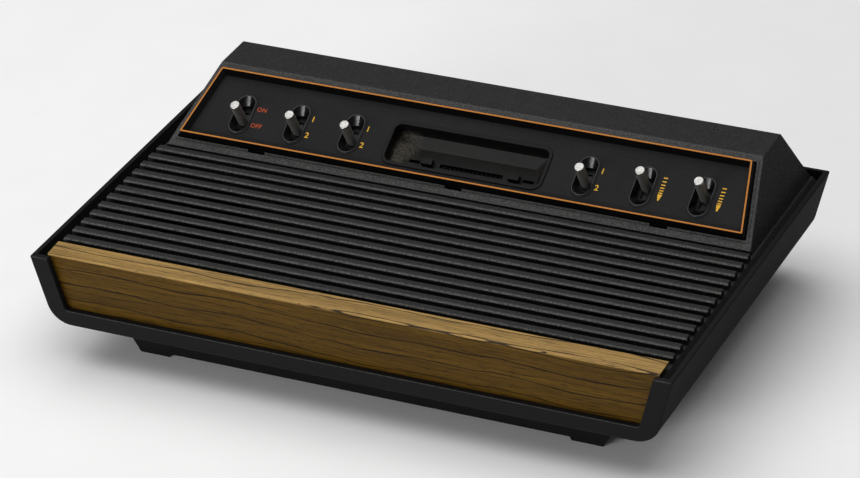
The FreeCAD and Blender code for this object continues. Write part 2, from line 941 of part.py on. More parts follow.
def top_casing():
    """The upper shell: ribbed deck, hump, panel opening with its ledge, and screw bosses."""
    outer = deck_and_hump()
    skirt_half = tray_half_at(skirt_height - 2 * casing_wall, tray_inner_half) - skirt_gap
    deck_cavity = prism_along_y(
        deck_outline(skirt_half, skirt_height - 2 * casing_wall, casing_wall),
        at_depth(casing_front + casing_wall), at_depth(casing_rear - casing_wall),
    )
    low = deck_height - 3 * casing_wall
    hump_cavity = prism_along_y(hump_outline(low, casing_wall), at_depth(hump_front), at_depth(casing_rear))
    hump_cavity = hump_cavity.common(
        prism_along_x(hump_side_view(low, casing_wall), -tray_half, tray_half)
    ).common(box(
        -tray_half, tray_half, at_depth(0), at_depth(casing_rear - casing_wall), 0, hump_top_height
    ))
    shell = outer.cut([deck_cavity, hump_cavity])

    added = []
    bores = []
    ledge_top = panel_outline(-panel_draft - panel_gap - casing_wall)
    ledge_hole = panel_outline(ledge_width - panel_draft)
    low = panel_bottom - ledge_thickness
    ledge = prism_up(ledge_top, low, panel_bottom)
    ledge = ledge.cut(prism_up(ledge_hole, low - past, panel_bottom + past))
    added.append(on_panel(ledge))
    bead_reach = face_draft + panel_gap + opening_bead_width
    bead = panel_outline(-bead_reach, panel_corner_radius)
    added.append(on_panel(prism_up(bead, face_level - casing_wall / 2, face_level + opening_bead_height)))
    for x, s in board_boss_places():
        added.append(on_panel(cylinder(x, s, switch_board_top, panel_bottom, board_boss_radius)))
        depth = switch_board_bottom + board_screw_length
        bores.append(on_panel(cylinder(x, s, switch_board_top - past, depth, screw_radius + screw_gap)))
    inside = outer.common(box(-tray_half, tray_half, -tray_depth, tray_depth, 0, hump_top_height))
    for x, y in case_screw_places():
        boss = cylinder(x, y, case_seat_height, hump_top_height, case_boss_radius)
        added.append(boss.common(inside))
        tip = case_seat_height - counterbore_roof + case_screw_length
        bores.append(cylinder(x, y, case_seat_height - past, tip, screw_radius + screw_gap))
    shell = shell.fuse(added)

    opening = panel_outline(-face_draft - panel_gap, panel_corner_radius)
    cuts = [on_panel(prism_up(opening, panel_bottom, face_level + opening_bead_height + past))]
    cuts += [on_panel(cut) for cut in clip_cuts()]
    cuts += vent_cuts() + wood_tab_boxes(slide_gap) + rear_openings() + bores
    return shell.cut(cuts).removeSplitter()


def woodgrain_front():
    """A bent panel: the front face and a lip that lies back over the casing."""
    front = at_depth(wood_front)
    top = rim_height + wood_above_rim
    back = at_depth(wood_front + wood_top_depth)
    seat = deck_height + front_ledge_rise
    side_view = [
        (front, top, wood_edge_radius),
        (front + wood_lean, wood_height, 0),
        (front + wood_lean + wood_thickness, wood_height, 0),
        (front + wood_thickness, seat, 0),
        (back, seat, 0),
        (back, top + wood_top_rise, wood_edge_radius / 2),
    ]
    half = tray_inner_half - wood_end_gap
    low_half = half - (top - wood_height) * tan_of(side_lean)
    ends = mirrored_outline([(low_half, wood_height, 0), (half, top + wood_top_rise, 0)])
    panel = prism_along_x(side_view, -tray_half, tray_half)
    panel = panel.common(prism_along_y(ends, front - past, back + past))
    return panel.fuse(wood_tab_boxes(0)).removeSplitter()


def control_panel():
    """The bezel: orange-lined rim, recessed plate, six oval holes, the well's hole and clips."""
    body = loft_up(
        panel_outline(-panel_draft, panel_corner_radius), panel_bottom,
        panel_outline(0, panel_corner_radius), 0,
    )
    recess_top_inset = panel_rim - recess_draft * past / recess_depth
    recess = loft_up(
        panel_outline(panel_rim + recess_draft, panel_corner_radius), plate_level,
        panel_outline(recess_top_inset, panel_corner_radius), past,
    )
    added = []
    cuts = [guide_body(screw_gap)]
    for index in range(6):
        x = switch_x(index)
        added.append(stadium(
            x, switch_centre, liner_width + 2 * collar_width, liner_length + 2 * collar_width,
            plate_level - past, plate_level + collar_rise,
        ))
        cuts.append(stadium(
            x, switch_centre, liner_width + 2 * screw_gap, liner_length + 2 * screw_gap,
            panel_bottom - past, plate_level + collar_rise + past,
        ))
    half = clip_width / 2
    low = panel_bottom - clip_length
    high = panel_bottom + past
    barb_top = panel_bottom - ledge_thickness - slide_gap
    front = -panel_draft
    back = panel_length + panel_draft
    for x in clip_x:
        added.append(box(x - half, x + half, front, front + clip_thickness, low, high))
        added.append(box(x - half, x + half, back - clip_thickness, back, low, high))
        added.append(box(x - half, x + half, back - clip_thickness / 2, back + clip_barb, low, barb_top))
    return on_panel(body.cut(recess).fuse(added).cut(cuts).removeSplitter())


def guide_body(gap):
    """The outside of the cartridge well's wall, grown by a gap."""
    half = well_half_width + guide_wall + gap
    front = well_front - guide_wall - gap
    back = well_front + well_length + guide_wall + gap
    corners = rectangle(half, front, back, well_corner_radius + guide_wall + gap)
    return prism_up(corners, guide_bottom, plate_level + guide_lip_rise)


def cartridge_guide():
    """The well: straight walls, a sloping foot, and a floor with a slit, posts and key slots."""
    rim_reach = guide_wall + guide_lip
    rim = rectangle(
        well_half_width + rim_reach, well_front - rim_reach, well_front + well_length + rim_reach,
        well_corner_radius + rim_reach,
    )
    body = guide_body(0).fuse(prism_up(rim, plate_level, plate_level + guide_lip_rise))
    mouth = rectangle(well_half_width, well_front, well_front + well_length, well_corner_radius)
    straight_foot = plate_level - well_straight_depth
    floor = rectangle(
        well_floor_half_width, well_floor_front, well_floor_front + well_floor_length, well_corner_radius
    )
    cuts = [
        prism_up(mouth, straight_foot, plate_level + guide_lip_rise + past),
        loft_up(floor, well_floor_level, mouth, straight_foot),
        box(
            -slit_half_width, slit_half_width, slit_centre - slit_width / 2, slit_centre + slit_width / 2,
            guide_bottom - past, well_floor_level + past,
        ),
    ]
    posts = []
    for side in (-1, 1):
        x = side * key_post_x
        posts.append(box(
            x - key_post_width / 2, x + key_post_width / 2,
            slit_centre - key_post_depth / 2, slit_centre + key_post_depth / 2,
            well_floor_level - guide_floor / 2, well_floor_level + key_post_height,
        ))
        x = side * key_slot_x
        cuts.append(box(
            x - key_slot_length / 2, x + key_slot_length / 2,
            slit_centre - key_slot_width / 2, slit_centre + key_slot_width / 2,
            guide_bottom - past, well_floor_level + past,
        ))
    guide = body.cut(cuts).fuse(posts).removeSplitter()
    lip = edges_where(guide, lambda point: abs(point.z - plate_level - guide_lip_rise) < 0.01)
    return on_panel(guide.makeFillet(guide_lip_radius, lip))


def cartridge_connector():
    """The edge connector on the main board, with a row of contacts along its slot."""
    top = guide_bottom - seat_gap
    half = connector_depth / 2
    body = box(
        -connector_half_width, connector_half_width, slit_centre - half, slit_centre + half,
        main_board_top, top,
    )
    cuts = [box(
        -slit_half_width, slit_half_width,
        slit_centre - connector_slot_half, slit_centre + connector_slot_half,
        top - connector_slot_depth, top + past,
    )]
    for index in range(contact_count):
        x = (index - (contact_count - 1) / 2) * contact_pitch
        cuts.append(box(
            x - contact_width / 2, x + contact_width / 2,
            slit_centre - slit_width / 2, slit_centre + slit_width / 2,
            top - connector_slot_depth / 2, top + past,
        ))
    return on_panel(body.cut(cuts).removeSplitter())


def slot_liner(index):
    """A glossy funnel in the plate's oval hole, with a flange under the plate."""
    x = switch_x(index)
    top = plate_level + liner_rise
    body = stadium(x, switch_centre, liner_width, liner_length, liner_bottom, top)
    flange = stadium(
        x, switch_centre, liner_width + 2 * liner_flange, liner_length + 2 * liner_flange,
        panel_bottom - liner_flange, panel_bottom,
    )
    funnel_foot = plate_level - liner_throat_depth
    mouth = (liner_width - 2 * liner_rim, liner_length - 2 * liner_rim)
    throat = (liner_slot_width, liner_slot_length)
    slot = stadium(x, switch_centre, liner_slot_width, liner_slot_length, liner_bottom - past, funnel_foot)
    funnel = Part.makeLoft(
        [oval_wire(x, throat, funnel_foot), oval_wire(x, mouth, top)], True, True
    )
    liner = body.fuse(flange).cut([slot, funnel]).removeSplitter()
    rim = edges_where(liner, lambda point: abs(point.z - top) < 0.01)
    return on_panel(liner.makeFillet(liner_edge_radius, rim))


def oval_wire(x, size, z):
    """The outline of a straight-sided oval about the switches' middle line."""
    width, length = size
    radius = width / 2
    low = switch_centre - (length - width) / 2
    high = switch_centre + (length - width) / 2
    return Part.Wire([
        Part.LineSegment(Vector(x + radius, low, z), Vector(x + radius, high, z)).toShape(),
        Part.Arc(
            Vector(x + radius, high, z), Vector(x, high + radius, z), Vector(x - radius, high, z)
        ).toShape(),
        Part.LineSegment(Vector(x - radius, high, z), Vector(x - radius, low, z)).toShape(),
        Part.Arc(
            Vector(x - radius, low, z), Vector(x, low - radius, z), Vector(x + radius, low, z)
        ).toShape(),
    ])


def rest_place(index):
    """Where a lever stands at rest: latching ones at the lower stop, sprung ones at the upper."""
    sprung = switch_names[index] in sprung_switches
    return switch_centre + (switch_travel / 2 if sprung else -switch_travel / 2)


def lever(index):
    """A turned metal lever with a slightly domed tip and a flat tang at its foot."""
    x = switch_x(index)
    s = rest_place(index)
    foot = can_top + slide_gap
    profile = [
        (0, foot, 0),
        (lever_radius, foot, lever_edge_radius),
        (lever_tip_radius, lever_tip, lever_edge_radius),
        (0, lever_tip + lever_dome, 0),
    ]
    rod = revolved(profile, x, s)
    tang = box(
        x - tang_width / 2, x + tang_width / 2, s - tang_length / 2, s + tang_length / 2,
        can_bottom + slider_gap + can_wall, foot + lever_edge_radius,
    )
    return on_panel(rod.fuse(tang).removeSplitter())


def switch_slider(index):
    """The contact carriage that the lever's tang stands in."""
    x = switch_x(index)
    s = rest_place(index)
    half = can_width / 2 - can_wall - slider_gap
    body = box(
        x - half, x + half, s - slider_length / 2, s + slider_length / 2,
        can_bottom + slider_gap, can_top - can_wall - slider_gap,
    )
    socket = box(
        x - tang_width / 2 - screw_gap, x + tang_width / 2 + screw_gap,
        s - tang_length / 2 - screw_gap, s + tang_length / 2 + screw_gap,
        can_bottom + slider_gap + can_wall, can_top,
    )
    groove = box(
        x - half / 2, x + half / 2, s - slider_length / 2 - past, s + slider_length / 2 + past,
        can_bottom, can_bottom + slider_gap + can_wall / 2,
    )
    return on_panel(body.cut([socket, groove]))


def can_half_length():
    return slider_length / 2 + switch_travel / 2 + stop_gap + can_wall


def switch_housing(index):
    """The folded metal can of a slide switch, open below, with a slot for the tang."""
    x = switch_x(index)
    half = can_width / 2
    half_length = can_half_length()
    front = switch_centre - half_length
    back = switch_centre + half_length
    body = box(x - half, x + half, front, back, can_bottom, can_top)
    corners = edges_where(
        body, lambda point: abs(abs(point.x - x) - half) < 0.01 and abs(point.z - can_top) < 0.01
    )
    body = body.makeFillet(can_wall, corners)
    cavity = box(
        x - half + can_wall, x + half - can_wall, front + can_wall, back - can_wall,
        can_bottom - past, can_top - can_wall,
    )
    slot_half = tang_length / 2 + switch_travel / 2 + 2 * slide_gap
    slot = box(
        x - tang_width / 2 - slide_gap, x + tang_width / 2 + slide_gap,
        switch_centre - slot_half, switch_centre + slot_half, can_top - can_wall - past, can_top + past,
    )
    return on_panel(body.cut([cavity, slot]))


def switch_pins(index, radius, low, high):
    """Six contact pins under a switch, or with a larger radius their holes."""
    pins = []
    for side in (-1, 1):
        for step in (-1, 0, 1):
            x = switch_x(index) + side * can_width / 4
            pins.append(cylinder(x, switch_centre + step * switch_travel * 2, low, high, radius))
    return pins


def switch_bases():
    """The six laminate bases that close the switches and carry their contact pins."""
    bases = []
    half = can_width / 2
    half_length = can_half_length()
    for index in range(6):
        x = switch_x(index)
        base = box(
            x - half, x + half, switch_centre - half_length, switch_centre + half_length,
            switch_board_top, can_bottom,
        )
        pin_top = switch_board_top + switch_base_thickness / 2
        pins = switch_pins(index, pin_radius, switch_board_bottom - board_pin_length, pin_top)
        bases.append(on_panel(base.fuse(pins).removeSplitter()))
    return Part.makeCompound(bases)


def switch_board():
    """The wide board under the panel, with a window for the cartridge well."""
    rear, rear_half = switch_board_rear()
    front_half = panel_half_at(switch_board_front) - board_edge_inset
    outline = mirrored_outline([
        (front_half, switch_board_front, board_corner_radius), (rear_half, rear, board_corner_radius),
    ])
    board = prism_up(outline, switch_board_bottom, switch_board_top)
    window = rectangle(
        well_half_width + guide_wall + board_window_gap,
        well_front - guide_wall - board_window_gap,
        well_front + well_length + guide_wall + board_window_gap,
        well_corner_radius,
    )
    low = switch_board_bottom - past
    high = switch_board_top + past
    cuts = [prism_up(window, low, high)]
    for x, s in board_boss_places():
        cuts.append(cylinder(x, s, low, high, screw_radius + slide_gap))
    for index in range(6):
        cuts += switch_pins(index, pin_radius + slide_gap, low, high)
    return on_panel(board.cut(cuts))


def main_board():
    outline = rectangle(
        main_board_half_width, main_board_front, main_board_front + main_board_length, board_corner_radius
    )
    return on_panel(prism_up(outline, main_board_bottom, main_board_top))


def shield_lugs(low, high):
    lugs = []
    for x, s in shield_screw_places():
        side = 1 if x > 0 else -1
        inner = x - side * (lug_reach + shield_wall / 2)
        lugs.append(cylinder(x, s, low, high, lug_radius))
        lugs.append(box(min(inner, x), max(inner, x), s - lug_radius, s + lug_radius, low, high))
    return lugs


def shield_pocket(low, high):
    """The room inside either casting, which leaves a step under and over the board's edge."""
    outline = rectangle(
        main_board_half_width - board_step, main_board_front + board_step,
        main_board_front + main_board_length - board_step, shield_corner_radius - shield_wall,
    )
    return prism_up(outline, low, high)


def shield_bottom():
    """The lower casting, with an inner step that the main board lies on."""
    body = prism_up(shield_outline(0, shield_corner_radius), shield_floor, main_board_top)
    lug_top = shield_floor + lug_thickness
    body = body.fuse(shield_lugs(shield_floor, lug_top))
    bed = rectangle(
        main_board_half_width + shield_side_gap, main_board_front - shield_side_gap,
        main_board_front + main_board_length + shield_side_gap, board_corner_radius + shield_side_gap,
    )
    cuts = [
        shield_pocket(shield_floor + shield_wall, main_board_top + past),
        prism_up(bed, main_board_bottom, main_board_top + past),
    ]
    for x, s in shield_screw_places():
        cuts.append(cylinder(x, s, shield_floor - past, lug_top + past, screw_radius + slide_gap))
    return on_panel(body.cut(cuts).removeSplitter())


def shield_top():
    """The upper casting, which holds the board's edge down, with openings in its roof and end."""
    body = prism_up(shield_outline(0, shield_corner_radius), main_board_top, shield_roof)
    roof = shield_roof - shield_wall
    reach = connector_half_width + board_step
    half = connector_depth / 2 + board_step
    ribbon_half = ribbon_half_width() + ribbon_clearance
    ribbon_depth = ribbon_wire_radius + ribbon_clearance
    low = roof - past
    high = shield_roof + past
    cuts = [
        shield_pocket(main_board_top - past, roof),
        box(-reach, reach, slit_centre - half, slit_centre + half, low, high),
        box(
            ribbon_x - ribbon_half, ribbon_x + ribbon_half, ribbon_s - ribbon_depth, ribbon_s + ribbon_depth,
            low, high,
        ),
        Part.makeCylinder(
            phono_radius + slide_gap, shield_wall + board_step + shield_side_gap + 2 * past,
            Vector(main_board_half_width - board_step - past, phono_s, phono_level), Vector(1, 0, 0),
        ),
    ]
    return on_panel(body.cut(cuts))


def dual_in_line(x, s, length, width, low, leg_count):
    """A chip: a moulded body with a notch at one end, on two rows of bent legs."""
    body_low = low + chip_lift
    top = low + chip_height
    middle = (body_low + top) / 2
    half = width / 2
    profile = [
        (s - half + chip_bevel, body_low, 0), (s + half - chip_bevel, body_low, 0), (s + half, middle, 0),
        (s + half - chip_bevel, top, 0), (s - half + chip_bevel, top, 0), (s - half, middle, 0),
    ]
    body = prism_along_x(profile, x - length / 2, x + length / 2)
    body = body.cut(cylinder(x - length / 2, s, top - chip_notch_depth, top + past, chip_notch_radius))
    legs = []
    per_side = leg_count // 2
    for step in range(per_side):
        leg_x = x + (step - (per_side - 1) / 2) * contact_pitch
        left = leg_x - chip_leg_width / 2
        right = leg_x + chip_leg_width / 2
        for side in (-1, 1):
            outer = s + side * (half + chip_leg_reach)
            inner = s + side * (half - chip_leg_thickness)
            shin = outer - side * chip_leg_thickness
            shoulder_low = middle - chip_leg_thickness / 2
            shoulder_high = middle + chip_leg_thickness / 2
            legs.append(box(left, right, min(outer, shin), max(outer, shin), low, shoulder_high))
            legs.append(box(left, right, min(inner, outer), max(inner, outer), shoulder_low, shoulder_high))
    return body.fuse(legs)


def chip_sockets():
    """The three long sockets, each with the open middle of its kind."""
    sockets = []
    low = main_board_top
    high = low + socket_height
    reach = chip_width / 2 + socket_margin
    places = ((io_chip_x, chip_length), (video_chip_x, chip_length), (processor_x, small_chip_length))
    for x, length in places:
        half = length / 2 + socket_end
        open_half = half - socket_end_bar
        body = box(x - half, x + half, chip_s - reach, chip_s + reach, low, high)
        middle = box(
            x - open_half, x + open_half, chip_s - chip_width / 4, chip_s + chip_width / 4,
            low + socket_floor, high + past,
        )
        sockets.append(on_panel(body.cut(middle)))
    return Part.makeCompound(sockets)


def long_chip(x, length, leg_count):
    return on_panel(dual_in_line(x, chip_s, length, chip_width, main_board_top + socket_height, leg_count))


def buffer_chip():
    return on_panel(dual_in_line(
        buffer_chip_x, buffer_chip_s, buffer_chip_length, buffer_chip_width, main_board_top, 16
    ))


def crystal():
    """A low oval metal can with a pressed brim, standing on the board."""
    def oval(grow):
        half_width = crystal_half_width + grow
        radius = half_width - crystal_brim / 5
        corners = rectangle(crystal_half_length + grow, -half_width, half_width, radius)
        return [(a + crystal_x, b + crystal_s, r) for a, b, r in corners]

    brim_top = main_board_top + crystal_brim_height
    can = prism_up(oval(0), brim_top, main_board_top + crystal_height)
    return on_panel(can.fuse(prism_up(oval(crystal_brim), main_board_top, brim_top)))


def board_resistors():
    """A row of small resistors that lie on the main board."""
    made = []
    level = main_board_top + resistor_radius
    along = Vector(0, 1, 0)
    for index in range(resistor_count):
        x = resistor_first_x + index * resistor_pitch
        start = Vector(x, resistor_s - resistor_length / 2, level)
        wire_start = Vector(x, resistor_s - resistor_leg_reach, level)
        body = Part.makeCylinder(resistor_radius, resistor_length, start, along)
        wire = Part.makeCylinder(resistor_wire_radius, 2 * resistor_leg_reach, wire_start, along)
        leg_top = level + resistor_leg_radius
        legs = [
            cylinder(x, resistor_s + side * resistor_leg_reach, main_board_top, leg_top, resistor_leg_radius)
            for side in (-1, 1)
        ]
        made.append(on_panel(body.fuse([wire] + legs)))
    return Part.makeCompound(made)


def rf_modulator():
    """A small folded metal box on the main board, near its right end."""
    high = main_board_top + modulator_height
    half = modulator_width / 2
    body = box(modulator_left, modulator_right, phono_s - half, phono_s + half, main_board_top, high)
    edges = edges_where(body, lambda point: abs(point.z - high) < 0.01)
    body = body.makeFillet(modulator_edge_radius, edges)
    middle = (modulator_left + modulator_right) / 2
    tuner = cylinder(middle, phono_s, high - tuner_depth, high + past, tuner_radius)
    return on_panel(body.cut(tuner))


def phono_socket():
    """The round socket on the modulator's side, which the aerial lead plugs into."""
    end = main_board_half_width + shield_side_gap + shield_wall + phono_proud

    def rod(radius, start, length):
        return Part.makeCylinder(radius, length, Vector(start, phono_s, phono_level), Vector(1, 0, 0))

    barrel = rod(phono_radius, modulator_right, end - modulator_right)
    collar = rod(phono_radius + phono_collar, modulator_right, phono_collar_length)
    bore = rod(phono_bore_radius, end - phono_bore_depth, phono_bore_depth + past)
    ring = rod(phono_radius - phono_wall, end - phono_ring_depth, phono_ring_depth + past)
    core = rod(phono_core_radius, end - phono_ring_depth, phono_ring_depth + past)
    return on_panel(barrel.fuse(collar).cut([bore, ring.cut(core)]))


def ribbon_half_width():
    return (ribbon_wires - 1) / 2 * contact_pitch + ribbon_wire_radius


def ribbon_cable():
    """Flat-laid wires between the two boards, through the slot in the shield's roof."""
    half = ribbon_half_width() - ribbon_wire_radius / 2
    web = box(
        ribbon_x - half, ribbon_x + half, ribbon_s - ribbon_web / 2, ribbon_s + ribbon_web / 2,
        main_board_top, switch_board_bottom,
    )
    wires = []
    for index in range(ribbon_wires):
        x = ribbon_x + (index - (ribbon_wires - 1) / 2) * contact_pitch
        wires.append(cylinder(x, ribbon_s, main_board_top, switch_board_bottom, ribbon_wire_radius))
    return on_panel(web.fuse(wires).removeSplitter())


def port_shell_outline(x, inset):
    """The five-sided outline of a port's metal shell, wider at its top."""
    foot_half = port_shell_half - port_shell_taper
    rise = port_shell_height / 2
    corners = [
        (-foot_half, -rise, port_shell_radius), (foot_half, -rise, port_shell_radius),
        (port_shell_half, rise, port_shell_radius), (-port_shell_half, rise, port_shell_radius),
    ]
    return [(x + a, port_level + b, radius) for a, b, radius in grown(corners, -inset)]


def port_face():
    """How far up the slope the ports' flanges face the rear."""
    return rear_face_s(port_level) - port_recess


def controller_port(side):
    """The moulded block of a port under the switch board's rear edge, with its flange."""
    x = port_x(side)
    face = port_face()
    flange_back = face - port_flange_thickness
    low = port_level - port_flange_height / 2
    high = port_level + port_flange_height / 2
    corners = rectangle(port_flange_width / 2, low, high, port_corner_radius)
    flange = prism_along_y([(x + a, b, radius) for a, b, radius in corners], flange_back, face)
    block = box(
        x - port_block_half, x + port_block_half, face - port_block_depth, flange_back,
        low + port_foot_gap, switch_board_bottom,
    )
    return on_panel(flange.fuse(block))


def port_shell(side):
    """The metal shell of a port and the nine pins inside it, which stand on the flange."""
    x = port_x(side)
    face = port_face()
    end = face + port_shell_length
    shell = prism_along_y(port_shell_outline(x, 0), face, end)
    hollow = prism_along_y(port_shell_outline(x, port_shell_wall), face - past, end + past)
    made = [shell.cut(hollow)]
    for row, count in ((1, 5), (-1, 4)):
        level = port_level + row * port_row_offset
        for index in range(count):
            start = Vector(x + (index - (count - 1) / 2) * port_pin_pitch, face, level)
            made.append(Part.makeCylinder(pin_radius, end - port_pin_short - face, start, Vector(0, 1, 0)))
    return Part.makeCompound([on_panel(each) for each in made])


def rear_part_face():
    """The rear face of the two blocks that stand close inside the hump's rear wall."""
    return rear_face_s(rear_part_level) - casing_wall - rear_part_step


def power_jack():
    """A round low-voltage socket: block under the board and a barrel through the rear wall."""
    end = rear_face_s(rear_part_level) + jack_proud
    back = rear_part_face()
    block = box(
        jack_x - jack_block_half, jack_x + jack_block_half, back - jack_block_depth, back,
        rear_part_level - jack_block_half, switch_board_bottom,
    )

    def rod(radius, start, stop):
        foot = Vector(jack_x, start, rear_part_level)
        return Part.makeCylinder(radius, stop - start, foot, Vector(0, 1, 0))

    barrel = rod(jack_barrel_radius, back - jack_block_depth / 2, end)
    return on_panel(block.fuse(barrel).cut(rod(jack_bore_radius, end - jack_bore_depth, end + past)))


def channel_switch_housing():
    """A small slide switch under the board, open to the rear through a slot."""
    back = rear_part_face()
    x = channel_switch_x
    half = channel_body_half
    body = box(
        x - half, x + half, back - channel_body_depth, back,
        rear_part_level - channel_body_rise, switch_board_bottom,
    )
    reach = channel_base_half + channel_knob_travel / 2 + slide_gap
    rise = channel_base_rise + slide_gap
    cavity = box(
        x - reach, x + reach, back - channel_body_depth + channel_back_wall, back - channel_lip,
        rear_part_level - rise, rear_part_level + rise,
    )
    mouth_reach = (channel_knob_width + channel_knob_travel) / 2 + slide_gap
    mouth_rise = channel_knob_height / 2 + slide_gap
    mouth = box(
        x - mouth_reach, x + mouth_reach, back - channel_lip - past, back + past,
        rear_part_level - mouth_rise, rear_part_level + mouth_rise,
    )
    return on_panel(body.cut([cavity, mouth]))


def channel_switch_knob():
    """The little knob that slides sideways, with its broad foot inside the housing."""
    back = rear_part_face()
    x = channel_switch_x - channel_knob_travel / 2
    foot_end = back - channel_lip - slide_gap
    foot = box(
        x - channel_base_half, x + channel_base_half,
        back - channel_body_depth + channel_back_wall + slide_gap, foot_end,
        rear_part_level - channel_base_rise, rear_part_level + channel_base_rise,
    )
    stem = box(
        x - channel_knob_width / 2, x + channel_knob_width / 2, foot_end - past,
        rear_face_s(rear_part_level) + channel_knob_proud,
        rear_part_level - channel_knob_height / 2, rear_part_level + channel_knob_height / 2,
    )
    return on_panel(foot.fuse(stem).removeSplitter())


def heat_sink():
    """A bent aluminium channel on the switch board, with the regulator between its walls."""
    half = heat_sink_width / 2
    front = heat_sink_front()
    back = front + heat_sink_length
    low = switch_board_top
    high = low + heat_sink_height
    outer = box(heat_sink_centre - half, heat_sink_centre + half, front, back, low, high)
    inner_half = half - heat_sink_wall
    inner = box(
        heat_sink_centre - inner_half, heat_sink_centre + inner_half, front - past, back + past,
        low + heat_sink_wall, high + past,
    )
    return on_panel(outer.cut(inner))


def voltage_regulator():
    """A flat power part: body, metal tab with its hole, and three legs down to the board."""
    left = heat_sink_centre - regulator_half_width
    right = heat_sink_centre + regulator_half_width
    front = heat_sink_front() + regulator_end_gap
    back = heat_sink_front() + heat_sink_length - regulator_end_gap
    low = switch_board_top + heat_sink_wall
    hole = cylinder(heat_sink_centre, back - regulator_hole_inset, low - past, low + regulator_height,
                    regulator_hole_radius)
    tab = box(left, right, front, back, low, low + regulator_tab).cut(hole)
    body = box(left, right, front, front + regulator_body_length, low, low + regulator_height)
    leg_front = heat_sink_front() - regulator_leg_reach
    leg_low = low + regulator_leg_level
    leg_high = leg_low + regulator_leg_thickness
    legs = []
    for step in (-1, 0, 1):
        leg_left = heat_sink_centre + step * contact_pitch - regulator_leg_width / 2
        leg_right = leg_left + regulator_leg_width
        shin_back = leg_front + regulator_leg_thickness
        legs.append(box(leg_left, leg_right, leg_front, front + past, leg_low, leg_high))
        legs.append(box(leg_left, leg_right, leg_front, shin_back, switch_board_top, leg_high))
    return on_panel(body.fuse([tab] + legs).removeSplitter())


def filter_capacitors():
    """Two lying capacitors with a rolled groove near one end."""
    made = []
    level = switch_board_top + capacitor_radius
    along = Vector(1, 0, 0)
    ring_radius = capacitor_radius + capacitor_groove_radius - capacitor_groove_depth
    s = switch_board_rear()[0] - capacitor_from_board_rear
    for x in capacitor_x:
        body = Part.makeCylinder(capacitor_radius, capacitor_length, Vector(x, s, level), along)
        place = Vector(x + capacitor_groove_place, s, level)
        made.append(on_panel(body.cut(Part.makeTorus(ring_radius, capacitor_groove_radius, place, along))))
    return Part.makeCompound(made)


def cord_grommet():
    """A rubber grommet in the rear wall's cord hole: two flanges and a neck."""
    inner = -casing_wall - screw_gap
    outer = screw_gap + grommet_flange
    profile = [
        (grommet_bore_radius, inner - grommet_flange, 0),
        (grommet_flange_radius, inner - grommet_flange, grommet_edge_radius),
        (grommet_flange_radius, inner, 0),
        (grommet_neck_radius, inner, 0),
        (grommet_neck_radius, screw_gap, 0),
        (grommet_flange_radius, screw_gap, 0),
        (grommet_flange_radius - grommet_flange / 2, outer, grommet_edge_radius),
        (grommet_bore_radius, outer, 0),
    ]
    return on_rear_wall(revolved(profile, 0, 0))


def screw(x, y, seat, length):
    """A pan-head screw pointing up: its head hangs under the seat, with a cross cut in it."""
    low = seat - screw_head_height
    profile = [
        (0, low, 0),
        (screw_head_radius, low, screw_head_edge),
        (screw_head_radius, seat, 0),
        (screw_radius, seat, 0),
        (screw_radius, seat + length - screw_point, 0),
        (0, seat + length, 0),
    ]
    cross = []
    for reach, half in ((cross_half_length, cross_half_width), (cross_half_width, cross_half_length)):
        cross.append(box(x - reach, x + reach, y - half, y + half, low - past, low + cross_depth))
    return revolved(profile, x, y).cut(cross)


def case_screws():
    """Four screws up through the tray's underside into the casing's bosses."""
    seat = case_seat_height - counterbore_roof
    length = case_screw_length - screw_point
    return Part.makeCompound([screw(x, y, seat, length) for x, y in case_screw_places()])


def switch_board_screws():
    """Four screws up through the switch board into the bosses round the panel's opening."""
    length = board_screw_length - screw_point
    made = [screw(x, s, switch_board_bottom, length) for x, s in board_boss_places()]
    return Part.makeCompound([on_panel(each) for each in made])


def shield_screws():
    """Four screws down through the lugs of the lower casting into the tray's posts."""
    made = []
    for x, s in shield_screw_places():
        upright = screw(0, 0, 0, lug_thickness + post_hole_depth - screw_point)
        turned = upright.rotated(Vector(0, 0, 0), Vector(1, 0, 0), 180)
        made.append(on_panel(turned.translated(Vector(x, s, shield_floor + lug_thickness))))
    return Part.makeCompound(made)


nodes = {
    "base_tray": base_tray(),
    "top_casing": top_casing(),
    "woodgrain_front": woodgrain_front(),
    "control_panel": control_panel(),
    "cartridge_guide": cartridge_guide(),
    "cartridge_connector": cartridge_connector(),
    "switch_bases": switch_bases(),
    "switch_board": switch_board(),
    "switch_board_screws": switch_board_screws(),
    "main_board": main_board(),
    "shield_bottom": shield_bottom(),
    "shield_top": shield_top(),
    "shield_screws": shield_screws(),
    "chip_sockets": chip_sockets(),
    "io_chip": long_chip(io_chip_x, chip_length, 40),
    "video_chip": long_chip(video_chip_x, chip_length, 40),
    "processor_chip": long_chip(processor_x, small_chip_length, 28),
    "buffer_chip": buffer_chip(),
    "crystal": crystal(),
    "board_resistors": board_resistors(),
    "rf_modulator": rf_modulator(),
    "phono_socket": phono_socket(),
    "ribbon_cable": ribbon_cable(),
    "left_controller_port": controller_port(-1),
    "right_controller_port": controller_port(1),
    "left_port_shell": port_shell(-1),
    "right_port_shell": port_shell(1),
    "power_jack": power_jack(),
    "channel_switch_housing": channel_switch_housing(),
    "channel_switch_knob": channel_switch_knob(),
    "heat_sink": heat_sink(),
    "voltage_regulator": voltage_regulator(),
    "filter_capacitors": filter_capacitors(),
    "cord_grommet": cord_grommet(),
    "case_screws": case_screws(),
}
for index, name in enumerate(switch_names):
    nodes["slot_liner_" + name] = slot_liner(index)
    nodes["lever_" + name] = lever(index)
    nodes["switch_slider_" + name] = switch_slider(index)
    nodes["switch_housing_" + name] = switch_housing(index)

